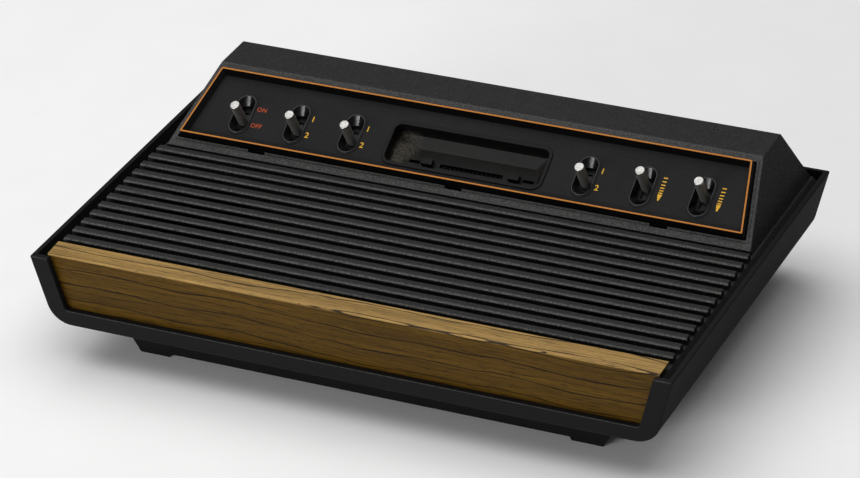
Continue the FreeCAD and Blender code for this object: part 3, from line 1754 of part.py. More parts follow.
os.makedirs("parts", exist_ok=True)
for node, shape in nodes.items():
    shape.exportStep("parts/" + node + ".step")
    solids = shape.Solids
    state = "valid" if shape.isValid() else "NOT VALID"
    print(node, len(solids), "solids", round(shape.Volume, 1), "mm3", state)
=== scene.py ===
import bmesh
import bpy
import math
from mathutils import Matrix, Vector


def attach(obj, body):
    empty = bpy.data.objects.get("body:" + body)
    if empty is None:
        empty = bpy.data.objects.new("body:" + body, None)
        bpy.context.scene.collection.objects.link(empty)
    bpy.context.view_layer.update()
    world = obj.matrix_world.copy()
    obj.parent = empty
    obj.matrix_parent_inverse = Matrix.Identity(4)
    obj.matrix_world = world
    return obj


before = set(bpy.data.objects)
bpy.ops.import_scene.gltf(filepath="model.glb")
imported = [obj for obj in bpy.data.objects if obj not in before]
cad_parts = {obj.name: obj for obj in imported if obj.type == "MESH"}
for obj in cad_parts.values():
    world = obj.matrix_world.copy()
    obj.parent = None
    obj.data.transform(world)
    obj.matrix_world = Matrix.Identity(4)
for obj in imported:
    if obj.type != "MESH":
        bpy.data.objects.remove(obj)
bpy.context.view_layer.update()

# Base tray: the tub that the whole console stands in, injection moulded in black ABS. Its mould
# was spark eroded, so the faces have a fine, even stipple that takes the shine off them. The
# stipple's crests are painted a paler grey as a painted glint, and the edges that turn towards the
# front light carry a painted highlight.
MILLIMETRE = 0.001
ABS_IOR = 1.54
CLOUD_SIZE = 24.0
CLOUD_SHINE = 0.05
HIGHLIGHT_FACING = (0.0, -0.8, 0.6)
DULL_WALL = 0.8


def linear(code):
    """An sRGB hex colour as the linear values that Blender works in."""
    values = []
    for place in (0, 2, 4):
        value = int(code[place:place + 2], 16) / 255
        values.append(value / 12.92 if value <= 0.04045 else ((value + 0.055) / 1.055) ** 2.4)
    return (*values, 1.0)


def add(tree, kind, inputs, output=0, **settings):
    """Adds a shader node with its settings and links, and gives one of its outputs.

    An input or the output is known by its name, or by its place among those that the settings
    leave in use. An input takes a value, or the output of another node.
    """
    def pick(sockets, key):
        in_use = [socket for socket in sockets if socket.enabled]
        if isinstance(key, int):
            return in_use[key]
        return next(socket for socket in in_use if socket.name == key)

    node = tree.nodes.new(kind)
    for name, value in settings.items():
        setattr(node, name, value)
    for key, value in inputs.items():
        socket = pick(node.inputs, key)
        if isinstance(value, bpy.types.NodeSocket):
            tree.links.new(value, socket)
        else:
            socket.default_value = value
    return pick(node.outputs, output)


def new_finish(name, colour, **shader_values):
    """A material with its shader's own colour and values, its node tree and its shader."""
    material = bpy.data.materials.new(name)
    material.use_nodes = True
    shader = material.node_tree.nodes["Principled BSDF"]
    shader.inputs["Base Color"].default_value = linear(colour)
    for key, value in shader_values.items():
        shader.inputs[key.replace("_", " ")].default_value = value
    return material, material.node_tree, shader


def places(tree, size, turn=0.0, stretch=(1.0, 1.0, 1.0)):
    """Object coordinates in steps of so many millimetres, turned about X and then stretched."""
    scale = 1 / (size * MILLIMETRE)
    turned = add(
        tree, "ShaderNodeMapping",
        {
            "Vector": add(tree, "ShaderNodeTexCoord", {}, "Object"),
            "Rotation": (turn, 0, 0),
            "Scale": (scale, scale, scale),
        },
    )
    return add(
        tree, "ShaderNodeMapping",
        {"Vector": turned, "Scale": tuple(1 / value for value in stretch)},
    )


def surface(tree, shader, tones=None, gloss=None, relief=None):
    """Lets patterns pick between two tones, set the roughness, and stand out as a relief.

    tones is (pattern, from, to, tone at from, tone at to), gloss is the same with two
    roughnesses in place of the tones, and relief is (pattern, millimetres).
    """
    if tones:
        pattern, low, high, first, second = tones
        share = add(
            tree, "ShaderNodeMapRange", {"Value": pattern, "From Min": low, "From Max": high}
        )
        tone = add(
            tree, "ShaderNodeMix", {"Factor": share, "A": linear(first), "B": linear(second)},
            data_type="RGBA",
        )
        tree.links.new(tone, shader.inputs["Base Color"])
    if gloss:
        pattern, low, high, first, second = gloss
        roughness = add(
            tree, "ShaderNodeMapRange",
            {
                "Value": pattern, "From Min": low, "From Max": high,
                "To Min": first, "To Max": second,
            },
        )
        tree.links.new(roughness, shader.inputs["Roughness"])
    if relief:
        pattern, height = relief
        normal = add(
            tree, "ShaderNodeBump",
            {"Height": pattern, "Strength": 1.0, "Distance": height * MILLIMETRE},
        )
        tree.links.new(normal, shader.inputs["Normal"])


def dress(material, *names):
    """Gives CAD nodes a finish."""
    for name in names:
        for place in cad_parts[name].material_slots:
            place.material = material


def stippled_plastic(name, colour, bloom, edge_highlight, grain, depth, shine, gloss):
    """Moulded ABS: a stipple whose crests are painted in the paler bloom tone as a painted glint,
    and faint clouds where hands have polished it.

    The faces that turn up towards the front light, along rounded edges, are painted pale in specks:
    a painted highlight. The left and right walls, along which the mould opened, are dull. The real
    grain is about 0.2 mm. It is drawn at the given size in millimetres, as coarse as it needs to
    show.
    """
    material, tree, shader = new_finish(name, colour, IOR=ABS_IOR, Specular_IOR_Level=gloss)
    stipple = add(
        tree, "ShaderNodeTexNoise",
        {"Vector": places(tree, grain), "Scale": 1.0, "Detail": 3.0, "Roughness": 0.65},
    )
    # Painted glint: the stipple's crests are mixed towards the paler bloom tone.
    glint_crests = add(tree, "ShaderNodeMapRange", {"Value": stipple, "From Min": 0.48, "From Max": 0.68})
    body = add(
        tree, "ShaderNodeMix", {"Factor": glint_crests, "A": linear(colour), "B": linear(bloom)},
        data_type="RGBA",
    )

    # Painted highlight: faces turned towards the front light are mixed in specks towards the paler
    # edge tone.
    facing = add(tree, "ShaderNodeNewGeometry", {}, "Normal")
    forward = add(
        tree, "ShaderNodeVectorMath", {0: facing, 1: HIGHLIGHT_FACING}, operation="DOT_PRODUCT"
    )
    lit_edge = add(tree, "ShaderNodeMapRange", {"Value": forward, "From Min": 0.88, "From Max": 0.97})
    highlight_specks = add(
        tree, "ShaderNodeMapRange",
        {"Value": stipple, "From Min": 0.42, "From Max": 0.62, "To Min": 0.2, "To Max": 1.0},
    )
    share = add(tree, "ShaderNodeMath", {0: lit_edge, 1: highlight_specks}, operation="MULTIPLY")
    tone = add(
        tree, "ShaderNodeMix", {"Factor": share, "A": body, "B": linear(edge_highlight)}, data_type="RGBA"
    )
    tree.links.new(tone, shader.inputs["Base Color"])

    clouds = add(
        tree, "ShaderNodeTexNoise",
        {"Vector": places(tree, CLOUD_SIZE), "Scale": 1.0, "Detail": 2.0},
    )
    polished = add(
        tree, "ShaderNodeMapRange",
        {
            "Value": clouds, "From Min": 0.3, "From Max": 0.7,
            "To Min": shine - CLOUD_SHINE, "To Max": shine + CLOUD_SHINE,
        },
    )
    across = add(tree, "ShaderNodeSeparateXYZ", {"Vector": facing}, "X")
    sideways = add(tree, "ShaderNodeMath", {0: across}, operation="ABSOLUTE")
    dull = add(
        tree, "ShaderNodeMapRange",
        {"Value": sideways, "From Min": 0.5, "From Max": 0.85, "To Min": 0.0, "To Max": DULL_WALL},
    )
    rough = add(tree, "ShaderNodeMath", {0: polished, 1: dull}, operation="MAXIMUM")
    tree.links.new(rough, shader.inputs["Roughness"])
    surface(tree, shader, relief=(stipple, depth))
    return material


tray_finish = stippled_plastic(
    "moulded ABS, fine stipple", colour="121212", bloom="1A1A1A", edge_highlight="454545",
    grain=0.6, depth=0.02, shine=0.42, gloss=0.07,
)
dress(tray_finish, "base_tray")

# Casing: the ribbed deck and the hump in one black ABS moulding. Its mould has a coarser grit
# than the tray's. The rounded rib edges and the narrow strips round the panel, which turn towards
# the front light, carry a painted highlight of grey specks, and the stipple's crests are painted
# paler as a painted glint.
casing_finish = stippled_plastic(
    "moulded ABS, coarse stipple", colour="141414", bloom="2D2D2C", edge_highlight="5A5A58",
    grain=0.9, depth=0.34, shine=0.34, gloss=0.2,
)
dress(casing_finish, "top_casing")

# Woodgrain front: a moulded strip with a printed teak-grain foil hot pressed over it. Long thin
# dark lines wander along it, with softer bands and short pores between them, under a satin
# lacquer. Below the bend, on the front face, the foil is painted darker and browner: a painted
# shade.
BEND_LOW = 59.6
BEND_HIGH = 60.4
# Two families of dark lines: how far apart they lie, how long and how wide they sway, all in
# millimetres, and their least and greatest width as a share of the distance between them.
GRAIN_LINES = ((9.0, 90.0, 4.5, 0.026, 0.06), (3.7, 60.0, 2.2, 0.001, 0.065))
FIRST_LINE = 2.0

foil, tree, shader = new_finish("teak grain foil", "866C40", IOR=1.48, Specular_IOR_Level=0.1)
place = places(tree, 1.0)
run = add(
    tree, "ShaderNodeVectorMath", {0: place, 1: (0.0, -1.0, 1.0)}, operation="DOT_PRODUCT"
)
families = []
for spacing, length, sway, least, most in GRAIN_LINES:
    wander = add(
        tree, "ShaderNodeTexNoise",
        {"Vector": places(tree, length, stretch=(1.0, 4.0, 4.0)), "Scale": 1.0, "Detail": 3.0},
    )
    shift = add(
        tree, "ShaderNodeMapRange",
        {
            "Value": wander, "From Min": 0.2, "From Max": 0.8,
            "To Min": FIRST_LINE - sway, "To Max": FIRST_LINE + sway,
        },
    )
    shifted = add(tree, "ShaderNodeMath", {0: run, 1: shift}, operation="ADD")
    steps = add(tree, "ShaderNodeMath", {0: shifted, 1: spacing}, operation="DIVIDE")
    distance = add(tree, "ShaderNodeMath", {0: steps, 1: 0.5}, operation="PINGPONG")
    fade = add(
        tree, "ShaderNodeTexNoise",
        {
            "Vector": places(tree, spacing / 2, stretch=(8.0, 1.0, 1.0)),
            "Scale": 1.0, "Detail": 4.0, "Roughness": 0.6,
        },
    )
    width = add(
        tree, "ShaderNodeMapRange",
        {"Value": fade, "From Min": 0.42, "From Max": 0.66, "To Min": least, "To Max": most},
    )
    ratio = add(tree, "ShaderNodeMath", {0: distance, 1: width}, operation="DIVIDE")
    families.append(add(
        tree, "ShaderNodeMapRange",
        {"Value": ratio, "From Min": 0.5, "From Max": 1.2, "To Min": 1.0, "To Max": 0.0},
    ))
lines = add(tree, "ShaderNodeMath", {0: families[0], 1: families[1]}, operation="MAXIMUM")
bands = add(
    tree, "ShaderNodeTexNoise",
    {
        "Vector": places(tree, 4.0, stretch=(40.0, 1.0, 1.0)),
        "Scale": 1.0, "Detail": 4.0, "Roughness": 0.6,
    },
)
streaks = add(
    tree, "ShaderNodeTexNoise",
    {
        "Vector": places(tree, 0.8, stretch=(30.0, 1.0, 1.0)),
        "Scale": 1.0, "Detail": 3.0, "Roughness": 0.6,
    },
)
# Teak's pores are about 0.3 mm wide, drawn twice as wide so that they show.
holes = add(
    tree, "ShaderNodeTexNoise",
    {"Vector": places(tree, 0.6, stretch=(9.0, 1.0, 1.0)), "Scale": 1.0, "Detail": 1.0},
)
pores = add(tree, "ShaderNodeMapRange", {"Value": holes, "From Min": 0.58, "From Max": 0.7})
tone = linear("AC8A50")
for pattern, low, high, strength, darker in (
    (bands, 0.35, 0.7, 1.0, "866A3A"),
    (streaks, 0.45, 0.75, 0.8, "6B5535"),
    (pores, 0.0, 1.0, 0.5, "574630"),
    (lines, 0.0, 1.0, 0.96, "281E13"),
):
    share = add(
        tree, "ShaderNodeMapRange",
        {"Value": pattern, "From Min": low, "From Max": high, "To Max": strength},
    )
    tone = add(
        tree, "ShaderNodeMix", {"Factor": share, "A": tone, "B": linear(darker)},
        data_type="RGBA",
    )
# Painted shade: below the bend the front face is multiplied darker and browner.
front_shade = add(
    tree, "ShaderNodeMapRange",
    {
        "Value": add(tree, "ShaderNodeSeparateXYZ", {"Vector": place}, "Z"),
        "From Min": BEND_LOW, "From Max": BEND_HIGH, "To Min": 1.0, "To Max": 0.0,
    },
)
shaded_foil = add(
    tree, "ShaderNodeMix", {"Factor": front_shade, "A": tone, "B": linear("857B46")},
    data_type="RGBA", blend_type="MULTIPLY",
)
tree.links.new(shaded_foil, shader.inputs["Base Color"])
surface(tree, shader, gloss=(bands, 0.3, 0.7, 0.4, 0.5), relief=(pores, -0.02))
dress(foil, "woodgrain_front")

# Control panel: the sloping bezel with its recessed plate, a separate ABS moulding clipped into
# the hump. Its mould was only lightly etched, so the plate is a flat, even charcoal. The walls of
# its rim that face down the slope are painted near black, a painted shade.
PANEL_TILT = math.radians(30.0)
DOWN_THE_SLOPE = (0.0, -math.cos(PANEL_TILT), -math.sin(PANEL_TILT))

panel_finish = stippled_plastic(
    "moulded ABS, light etch", colour="1D1D1D", bloom="262626", edge_highlight="262626",
    grain=0.7, depth=0.012, shine=0.55, gloss=0.05,
)
tree = panel_finish.node_tree
shader = tree.nodes["Principled BSDF"]
# Painted shade: the rim's walls that face down the slope are mixed towards near black.
facing = add(tree, "ShaderNodeNewGeometry", {}, "Normal")
ahead = add(
    tree, "ShaderNodeVectorMath", {0: facing, 1: DOWN_THE_SLOPE}, operation="DOT_PRODUCT"
)
shaded_wall = add(tree, "ShaderNodeMapRange", {"Value": ahead, "From Min": 0.6, "From Max": 0.8})
plate = shader.inputs["Base Color"].links[0].from_socket
tone = add(
    tree, "ShaderNodeMix", {"Factor": shaded_wall, "A": plate, "B": linear("090909")}, data_type="RGBA"
)
tree.links.new(tone, shader.inputs["Base Color"])
dress(panel_finish, "control_panel")

# Orange line: a hot-stamped foil line, 0.8 mm wide, all the way round the top of the bezel's
# rim. The foil is thin, satin and slightly uneven where the stamp met the etched plastic.
PANEL_ORIGIN = Vector((0.0, 24.0345, 66.0992))
RIM_FRONT_HALF = 157.969
RIM_BACK_HALF = 149.735
RIM_LENGTH = 42.9
RIM_CORNER = 0.8
LINE_INSET = 0.1
LINE_WIDTH = 0.8
FILM = 0.04


def on_panel(mesh):
    """Takes a mesh from millimetres along, up and out of the panel to its place in the frame."""
    mesh.transform(
        Matrix.Scale(MILLIMETRE, 4)
        @ Matrix.Translation(PANEL_ORIGIN)
        @ Matrix.Rotation(PANEL_TILT, 4, "X")
    )


def film_mesh(name, shape):
    """Gives a flat shape the thickness of a film and takes it to its place on the panel."""
    grown = bmesh.ops.extrude_face_region(shape, geom=shape.faces[:])
    bmesh.ops.translate(
        shape, vec=(0, 0, FILM),
        verts=[part for part in grown["geom"] if isinstance(part, bmesh.types.BMVert)],
    )
    bmesh.ops.recalc_face_normals(shape, faces=shape.faces[:])
    mesh = bpy.data.meshes.new(name)
    shape.to_mesh(mesh)
    shape.free()
    on_panel(mesh)
    return mesh


def new_piece(name, mesh, material):
    """A piece of the console with one finish, which rides on its fixed body."""
    mesh.materials.clear()
    mesh.materials.append(material)
    piece = bpy.data.objects.new(name, mesh)
    bpy.context.collection.objects.link(piece)
    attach(piece, "console")
    return piece


line_shape = bmesh.new()
corners = [
    line_shape.verts.new((side * half, s, 0))
    for side, half, s in (
        (-1, RIM_FRONT_HALF, 0), (1, RIM_FRONT_HALF, 0),
        (1, RIM_BACK_HALF, RIM_LENGTH), (-1, RIM_BACK_HALF, RIM_LENGTH),
    )
]
line_shape.faces.new(corners)
bmesh.ops.bevel(
    line_shape, geom=line_shape.verts[:], offset=RIM_CORNER, offset_type="OFFSET", segments=6,
    profile=0.5, affect="VERTICES", material=-1,
)
bmesh.ops.inset_region(
    line_shape, faces=line_shape.faces[:], thickness=LINE_INSET, use_even_offset=True,
    use_boundary=True,
)
inner = max(line_shape.faces, key=lambda face: face.calc_area())
outer = [face for face in line_shape.faces if face is not inner]
bmesh.ops.delete(line_shape, geom=outer, context="FACES")
bmesh.ops.inset_region(
    line_shape, faces=line_shape.faces[:], thickness=LINE_WIDTH, use_even_offset=True,
    use_boundary=True,
)
inner = max(line_shape.faces, key=lambda face: face.calc_area())
bmesh.ops.delete(line_shape, geom=[inner], context="FACES")

stamped, tree, shader = new_finish(
    "stamped foil, orange", "BC772B", IOR=1.5, Specular_IOR_Level=0.15
)
worn = add(tree, "ShaderNodeTexNoise", {"Vector": places(tree, 0.6), "Scale": 1.0})
surface(
    tree, shader, tones=(worn, 0.35, 0.75, "BC772B", "A66727"),
    gloss=(worn, 0.3, 0.7, 0.35, 0.5), relief=(worn, 0.01),
)
new_piece("panel_line", film_mesh("panel_line", line_shape), stamped)

# Printed marks: screen-printed ink on the plate. Red ON and OFF stand beside the power lever,
# and plain numbers beside the next ones. Beside each sprung lever a run of yellow bars that
# close up towards an arrowhead shows which way it is pushed.
PLATE_LEVEL = -4.2
LEVERS = (-129.442, -97.721, -66.0, 66.0, 97.721, 129.442)
WORD_HEIGHT = 2.5
NUMBER_HEIGHT = 3.3
SIZE_PER_HEIGHT = 1.4
LETTER_SWELL = 0.06
LETTER_SPACING = 1.08
UPPER_MARK = 23.3
LOWER_MARK = 13.2
MARK_OFFSET = 6.9
BAR_OFFSET = 10.0
BAR_HALF = 1.15
BAR_THICKNESS = 0.65
BAR_PLACES = (26.0, 23.8, 21.75, 19.96, 18.35, 16.9)
ARROW_TOP = 16.1
ARROW_SHOULDER = 15.5
ARROW_TIP = 12.3
ARROW_TIP_HALF = 0.3
INK_CORNER = 0.15


def ink(name, colour, worn_colour):
    """Screen ink: a thin matt film that is uneven over the plate's grain."""
    material, tree, shader = new_finish(name, colour, IOR=1.5, Specular_IOR_Level=0.15)
    patches = add(tree, "ShaderNodeTexNoise", {"Vector": places(tree, 0.45), "Scale": 1.0})
    surface(
        tree, shader, tones=(patches, 0.45, 0.75, colour, worn_colour),
        gloss=(patches, 0.3, 0.7, 0.5, 0.62), relief=(patches, 0.01),
    )
    return material


def lettering(text, height, x, s):
    """A plain word or number as a thin film, starting at x and centred on s."""
    curve = bpy.data.curves.new(text, "FONT")
    curve.body = text
    curve.size = height * SIZE_PER_HEIGHT
    curve.extrude = FILM / 2
    curve.offset = LETTER_SWELL
    curve.space_character = LETTER_SPACING
    curve.align_y = "CENTER"
    holder = bpy.data.objects.new(text, curve)
    bpy.context.collection.objects.link(holder)
    bpy.context.view_layer.update()
    mesh = bpy.data.meshes.new_from_object(holder)
    bpy.data.objects.remove(holder)
    mesh.transform(Matrix.Translation((x, s, PLATE_LEVEL + FILM / 2)))
    on_panel(mesh)
    return mesh


red_ink = ink("screen ink, red", "A8431F", "86381F")
yellow_ink = ink("screen ink, yellow", "DDAA31", "B98C2C")
for word, s in (("ON", UPPER_MARK), ("OFF", LOWER_MARK)):
    mesh = lettering(word, WORD_HEIGHT, LEVERS[0] + MARK_OFFSET, s)
    new_piece("mark_" + word.lower(), mesh, red_ink)
for index, side in ((1, "tv_type"), (2, "left"), (3, "right")):
    for number, s in (("1", UPPER_MARK), ("2", LOWER_MARK)):
        mesh = lettering(number, NUMBER_HEIGHT, LEVERS[index] + MARK_OFFSET, s)
        new_piece(f"mark_{side}_{number}", mesh, yellow_ink)

for index, name in ((4, "select"), (5, "reset")):
    arrow = bmesh.new()
    x = LEVERS[index] + BAR_OFFSET
    for s in BAR_PLACES:
        bar = [
            arrow.verts.new((x + across, s + along, PLATE_LEVEL))
            for across, along in (
                (-BAR_HALF, -BAR_THICKNESS / 2), (BAR_HALF, -BAR_THICKNESS / 2),
                (BAR_HALF, BAR_THICKNESS / 2), (-BAR_HALF, BAR_THICKNESS / 2),
            )
        ]
        arrow.faces.new(bar)
    head = [
        arrow.verts.new((x + across, s, PLATE_LEVEL))
        for across, s in (
            (-BAR_HALF, ARROW_TOP), (-BAR_HALF, ARROW_SHOULDER),
            (-ARROW_TIP_HALF, ARROW_TIP), (ARROW_TIP_HALF, ARROW_TIP),
            (BAR_HALF, ARROW_SHOULDER), (BAR_HALF, ARROW_TOP),
        )
    ]
    arrow.faces.new(head)
    bmesh.ops.bevel(
        arrow, geom=arrow.verts[:], offset=INK_CORNER, offset_type="OFFSET", segments=2,
        profile=0.5, affect="VERTICES", material=-1,
    )
    mesh = film_mesh("arrow_" + name, arrow)
    new_piece("arrow_" + name, mesh, yellow_ink)

# Slot liners: the oval funnels round the levers, moulded in black ABS from a polished mould, so
# they are the only glossy plastic on the console. Each has fine rub marks along its slot.
SWITCHES = ("power", "tv_type", "left_difficulty", "right_difficulty", "game_select", "game_reset")

polished, tree, shader = new_finish(
    "polished ABS, black", "0A0A0A", IOR=ABS_IOR, Specular_IOR_Level=0.25
)
# The rub marks are hair thin, drawn 0.35 mm wide so that they show.
rubs = add(
    tree, "ShaderNodeTexNoise",
    {
        "Vector": places(tree, 0.35, turn=-PANEL_TILT, stretch=(1.0, 14.0, 1.0)),
        "Scale": 1.0, "Detail": 3.0,
    },
)
haze = add(tree, "ShaderNodeTexNoise", {"Vector": places(tree, 6.0), "Scale": 1.0})
spread = add(tree, "ShaderNodeMath", {0: rubs, 1: haze}, operation="MULTIPLY")
surface(tree, shader, gloss=(spread, 0.15, 0.45, 0.16, 0.32), relief=(haze, 0.06))
dress(polished, *("slot_liner_" + name for name in SWITCHES))

# Levers: turned steel pins, bright nickel plated. The lathe left fine lines round them and the
# plating has gone a little cloudy along the sides, while the tips are kept bright by fingers.
TIP_START = 7.2
TIP_FULL = 7.8


def level_on_panel(tree):
    """How many millimetres a point lies above the bezel's rim, square to the panel."""
    out = Vector((0.0, -math.sin(PANEL_TILT), math.cos(PANEL_TILT)))
    height = add(
        tree, "ShaderNodeVectorMath", {0: places(tree, 1.0), 1: tuple(out)},
        operation="DOT_PRODUCT",
    )
    return add(
        tree, "ShaderNodeMath", {0: height, 1: PANEL_ORIGIN.dot(out)}, operation="SUBTRACT"
    )


nickel, tree, shader = new_finish("nickel plated steel, turned", "B2B1AE", Metallic=1.0)
clouds = add(
    tree, "ShaderNodeTexNoise",
    {
        "Vector": places(tree, 0.9, turn=-PANEL_TILT, stretch=(1.0, 1.0, 9.0)),
        "Scale": 1.0, "Detail": 4.0, "Roughness": 0.6,
    },
)
# The lathe's lines are about 0.05 mm apart, drawn coarser so that they show.
turned = add(
    tree, "ShaderNodeTexNoise",
    {
        "Vector": places(tree, 0.3, turn=-PANEL_TILT, stretch=(30.0, 30.0, 1.0)),
        "Scale": 1.0, "Detail": 1.0,
    },
)
side = add(
    tree, "ShaderNodeMapRange",
    {"Value": clouds, "From Min": 0.3, "From Max": 0.7, "To Min": 0.5, "To Max": 0.62},
)
tip = add(
    tree, "ShaderNodeMapRange",
    {
        "Value": level_on_panel(tree), "From Min": TIP_START, "From Max": TIP_FULL,
        "To Min": 0.0, "To Max": 0.2,
    },
)
smooth = add(tree, "ShaderNodeMath", {0: side, 1: tip}, operation="SUBTRACT")
tree.links.new(smooth, shader.inputs["Roughness"])
surface(tree, shader, tones=(clouds, 0.3, 0.7, "BCBBB8", "979592"), relief=(turned, 0.02))
dress(nickel, *("lever_" + name for name in SWITCHES))

# Cartridge well: a black ABS pocket set into the panel. Years of cartridges have scuffed its
# walls along the way they slide, deep down and most of all at the left end, which leaves dull,
# dusty brown-grey streaks.
SCUFF_FULL_LEVEL = -12.0
SCUFF_END_LEVEL = -9.0
SCUFF_FULL_X = -39.0
SCUFF_END_X = -30.0

well, tree, shader = new_finish(
    "moulded ABS, scuffed", "0B0B0B", IOR=ABS_IOR, Specular_IOR_Level=0.1
)
grain = add(
    tree, "ShaderNodeTexNoise", {"Vector": places(tree, 0.5), "Scale": 1.0, "Detail": 3.0}
)
scuffs = add(
    tree, "ShaderNodeTexNoise",
    {
        "Vector": places(tree, 1.1, turn=-PANEL_TILT, stretch=(1.0, 1.0, 9.0)),
        "Scale": 1.0, "Detail": 4.0, "Roughness": 0.65,
    },
)
patches = add(
    tree, "ShaderNodeTexNoise", {"Vector": places(tree, 14.0), "Scale": 1.0, "Detail": 3.0}
)
along = add(tree, "ShaderNodeSeparateXYZ", {"Vector": places(tree, 1.0)}, "X")
worn = 1.0
for pattern, low, high, at_low, at_high in (
    (scuffs, 0.3, 0.75, 0.0, 1.0),
    (patches, 0.4, 0.6, 0.3, 1.0),
    (level_on_panel(tree), SCUFF_FULL_LEVEL, SCUFF_END_LEVEL, 1.0, 0.0),
    (along, SCUFF_FULL_X, SCUFF_END_X, 1.0, 0.07),
):
    share = add(
        tree, "ShaderNodeMapRange",
        {
            "Value": pattern, "From Min": low, "From Max": high,
            "To Min": at_low, "To Max": at_high,
        },
    )
    worn = add(tree, "ShaderNodeMath", {0: worn, 1: share}, operation="MULTIPLY")
surface(
    tree, shader, tones=(worn, 0.0, 1.0, "0B0B0B", "827C70"),
    gloss=(worn, 0.0, 1.0, 0.45, 0.75), relief=(grain, 0.04),
)
dress(well, "cartridge_guide")

# Connector, port blocks and power inlet: glass-filled nylon, moulded matt black, with a faint
# swirl of fibre in its skin. The connector sits under the well, the others in the rear wall.
nylon, tree, shader = new_finish("glass-filled nylon", "1A1A1B", IOR=1.53)
fibres = add(
    tree, "ShaderNodeTexNoise",
    {
        "Vector": places(tree, 0.5, stretch=(6.0, 1.0, 1.0)),
        "Scale": 1.0, "Detail": 3.0, "Distortion": 1.5,
    },
)
surface(
    tree, shader, tones=(fibres, 0.45, 0.75, "18181A", "2C2C2E"),
    gloss=(fibres, 0.3, 0.7, 0.48, 0.62), relief=(fibres, 0.02),
)
dress(nylon, "cartridge_connector", "left_controller_port", "right_controller_port", "power_jack")

# Slide switches: steel cans on bases punched from brown paper laminate, with black acetal
# sliders. The cans are coloured near black, a painted shade, so that nothing shines in the slots
# under the levers.
shade_painted, tree, shader = new_finish(
    "blackened steel sheet", "141415", Metallic=0.6, Specular_IOR_Level=0.3
)
dark_mottle = add(
    tree, "ShaderNodeTexNoise", {"Vector": places(tree, 2.5), "Scale": 1.0, "Detail": 4.0}
)
surface(
    tree, shader, tones=(dark_mottle, 0.35, 0.7, "131314", "232325"),
    gloss=(dark_mottle, 0.3, 0.7, 0.5, 0.66), relief=(dark_mottle, 0.01),
)
dress(shade_painted, *("switch_housing_" + name for name in SWITCHES))

slide, tree, shader = new_finish(
    "moulded acetal, black", "121212", IOR=1.48, Specular_IOR_Level=0.3
)
flow = add(
    tree, "ShaderNodeTexNoise",
    {"Vector": places(tree, 5.0, stretch=(3.0, 1.0, 1.0)), "Scale": 1.0, "Distortion": 0.6},
)
surface(
    tree, shader, tones=(flow, 0.3, 0.7, "111111", "1E1E1E"),
    gloss=(flow, 0.3, 0.7, 0.4, 0.52), relief=(flow, 0.02),
)
dress(slide, *("switch_slider_" + name for name in SWITCHES))

paper, tree, shader = new_finish("paper laminate", "6B4423", IOR=1.55)
fibres = add(
    tree, "ShaderNodeTexNoise",
    {"Vector": places(tree, 0.8, stretch=(5.0, 1.0, 1.0)), "Scale": 1.0, "Detail": 4.0},
)
surface(
    tree, shader, tones=(fibres, 0.35, 0.7, "74491F", "553418"),
    gloss=(fibres, 0.3, 0.7, 0.38, 0.5), relief=(fibres, 0.01),
)
dress(paper, "switch_bases")

# Tinned parts: the modulator's box, the crystal's can, the channel switch's frame and the shells
# of the ports, folded or drawn from steel with a tin plate that has a faint spangle.
tin, tree, shader = new_finish("tinned steel sheet", "B9B8B2", Metallic=1.0)
spangle = add(tree, "ShaderNodeTexVoronoi", {"Vector": places(tree, 4.0), "Scale": 1.0})
stains = add(
    tree, "ShaderNodeTexNoise", {"Vector": places(tree, 2.5), "Scale": 1.0, "Detail": 3.0}
)
surface(
    tree, shader, tones=(spangle, 0.1, 0.9, "C2C1BB", "A5A49E"),
    gloss=(stains, 0.3, 0.7, 0.3, 0.5), relief=(stains, 0.01),
)
dress(
    tin, "channel_switch_housing", "rf_modulator", "crystal", "left_port_shell",
    "right_port_shell",
)

# Boards: copper-clad glass laminate under green solder resist. The resist is glossy, lies in
# faint ripples over the glass weave and is paler over the copper fields.
resist, tree, shader = new_finish("solder resist on glass laminate", "1F4A24", IOR=1.52)
weave = add(
    tree, "ShaderNodeTexWave",
    {"Vector": places(tree, 0.9), "Scale": 1.0, "Distortion": 0.6},
    "Fac", wave_type="BANDS", bands_direction="X",
)
fields = add(
    tree, "ShaderNodeTexBrick",
    {
        "Vector": places(tree, 9.0), "Scale": 1.0,
        "Mortar Size": 0.12, "Brick Width": 1.7, "Row Height": 0.6,
    },
    "Fac",
)
surface(
    tree, shader, tones=(fields, 0.0, 1.0, "2B6330", "1B4120"),
    gloss=(weave, 0.0, 1.0, 0.22, 0.34), relief=(weave, 0.01),
)
dress(resist, "switch_board", "main_board")

# Shield: two die-cast aluminium halves round the main board, left as they came from the die,
# with a dull skin, flow marks and small pits.
cast, tree, shader = new_finish("die-cast aluminium", "9C9C9A", Metallic=1.0)
skin = add(
    tree, "ShaderNodeTexNoise",
    {"Vector": places(tree, 1.2), "Scale": 1.0, "Detail": 4.0, "Roughness": 0.6},
)
flow = add(
    tree, "ShaderNodeTexNoise",
    {"Vector": places(tree, 18.0), "Scale": 1.0, "Detail": 3.0, "Distortion": 1.2},
)
surface(
    tree, shader, tones=(flow, 0.3, 0.7, "A6A6A3", "868684"),
    gloss=(skin, 0.3, 0.7, 0.45, 0.65), relief=(skin, 0.06),
)
dress(cast, "shield_bottom", "shield_top")

# Chips, their sockets and the regulator: black epoxy and thermoset, ejected with a dull, slightly
# sandy face.
epoxy, tree, shader = new_finish("moulded epoxy", "161617", IOR=1.55)
sand = add(tree, "ShaderNodeTexNoise", {"Vector": places(tree, 0.3), "Scale": 1.0})
surface(
    tree, shader, tones=(sand, 0.5, 0.75, "161617", "262627"),
    gloss=(sand, 0.3, 0.7, 0.5, 0.64), relief=(sand, 0.02),
)
dress(
    epoxy, "chip_sockets", "io_chip", "video_chip", "processor_chip", "buffer_chip",
    "voltage_regulator",
)

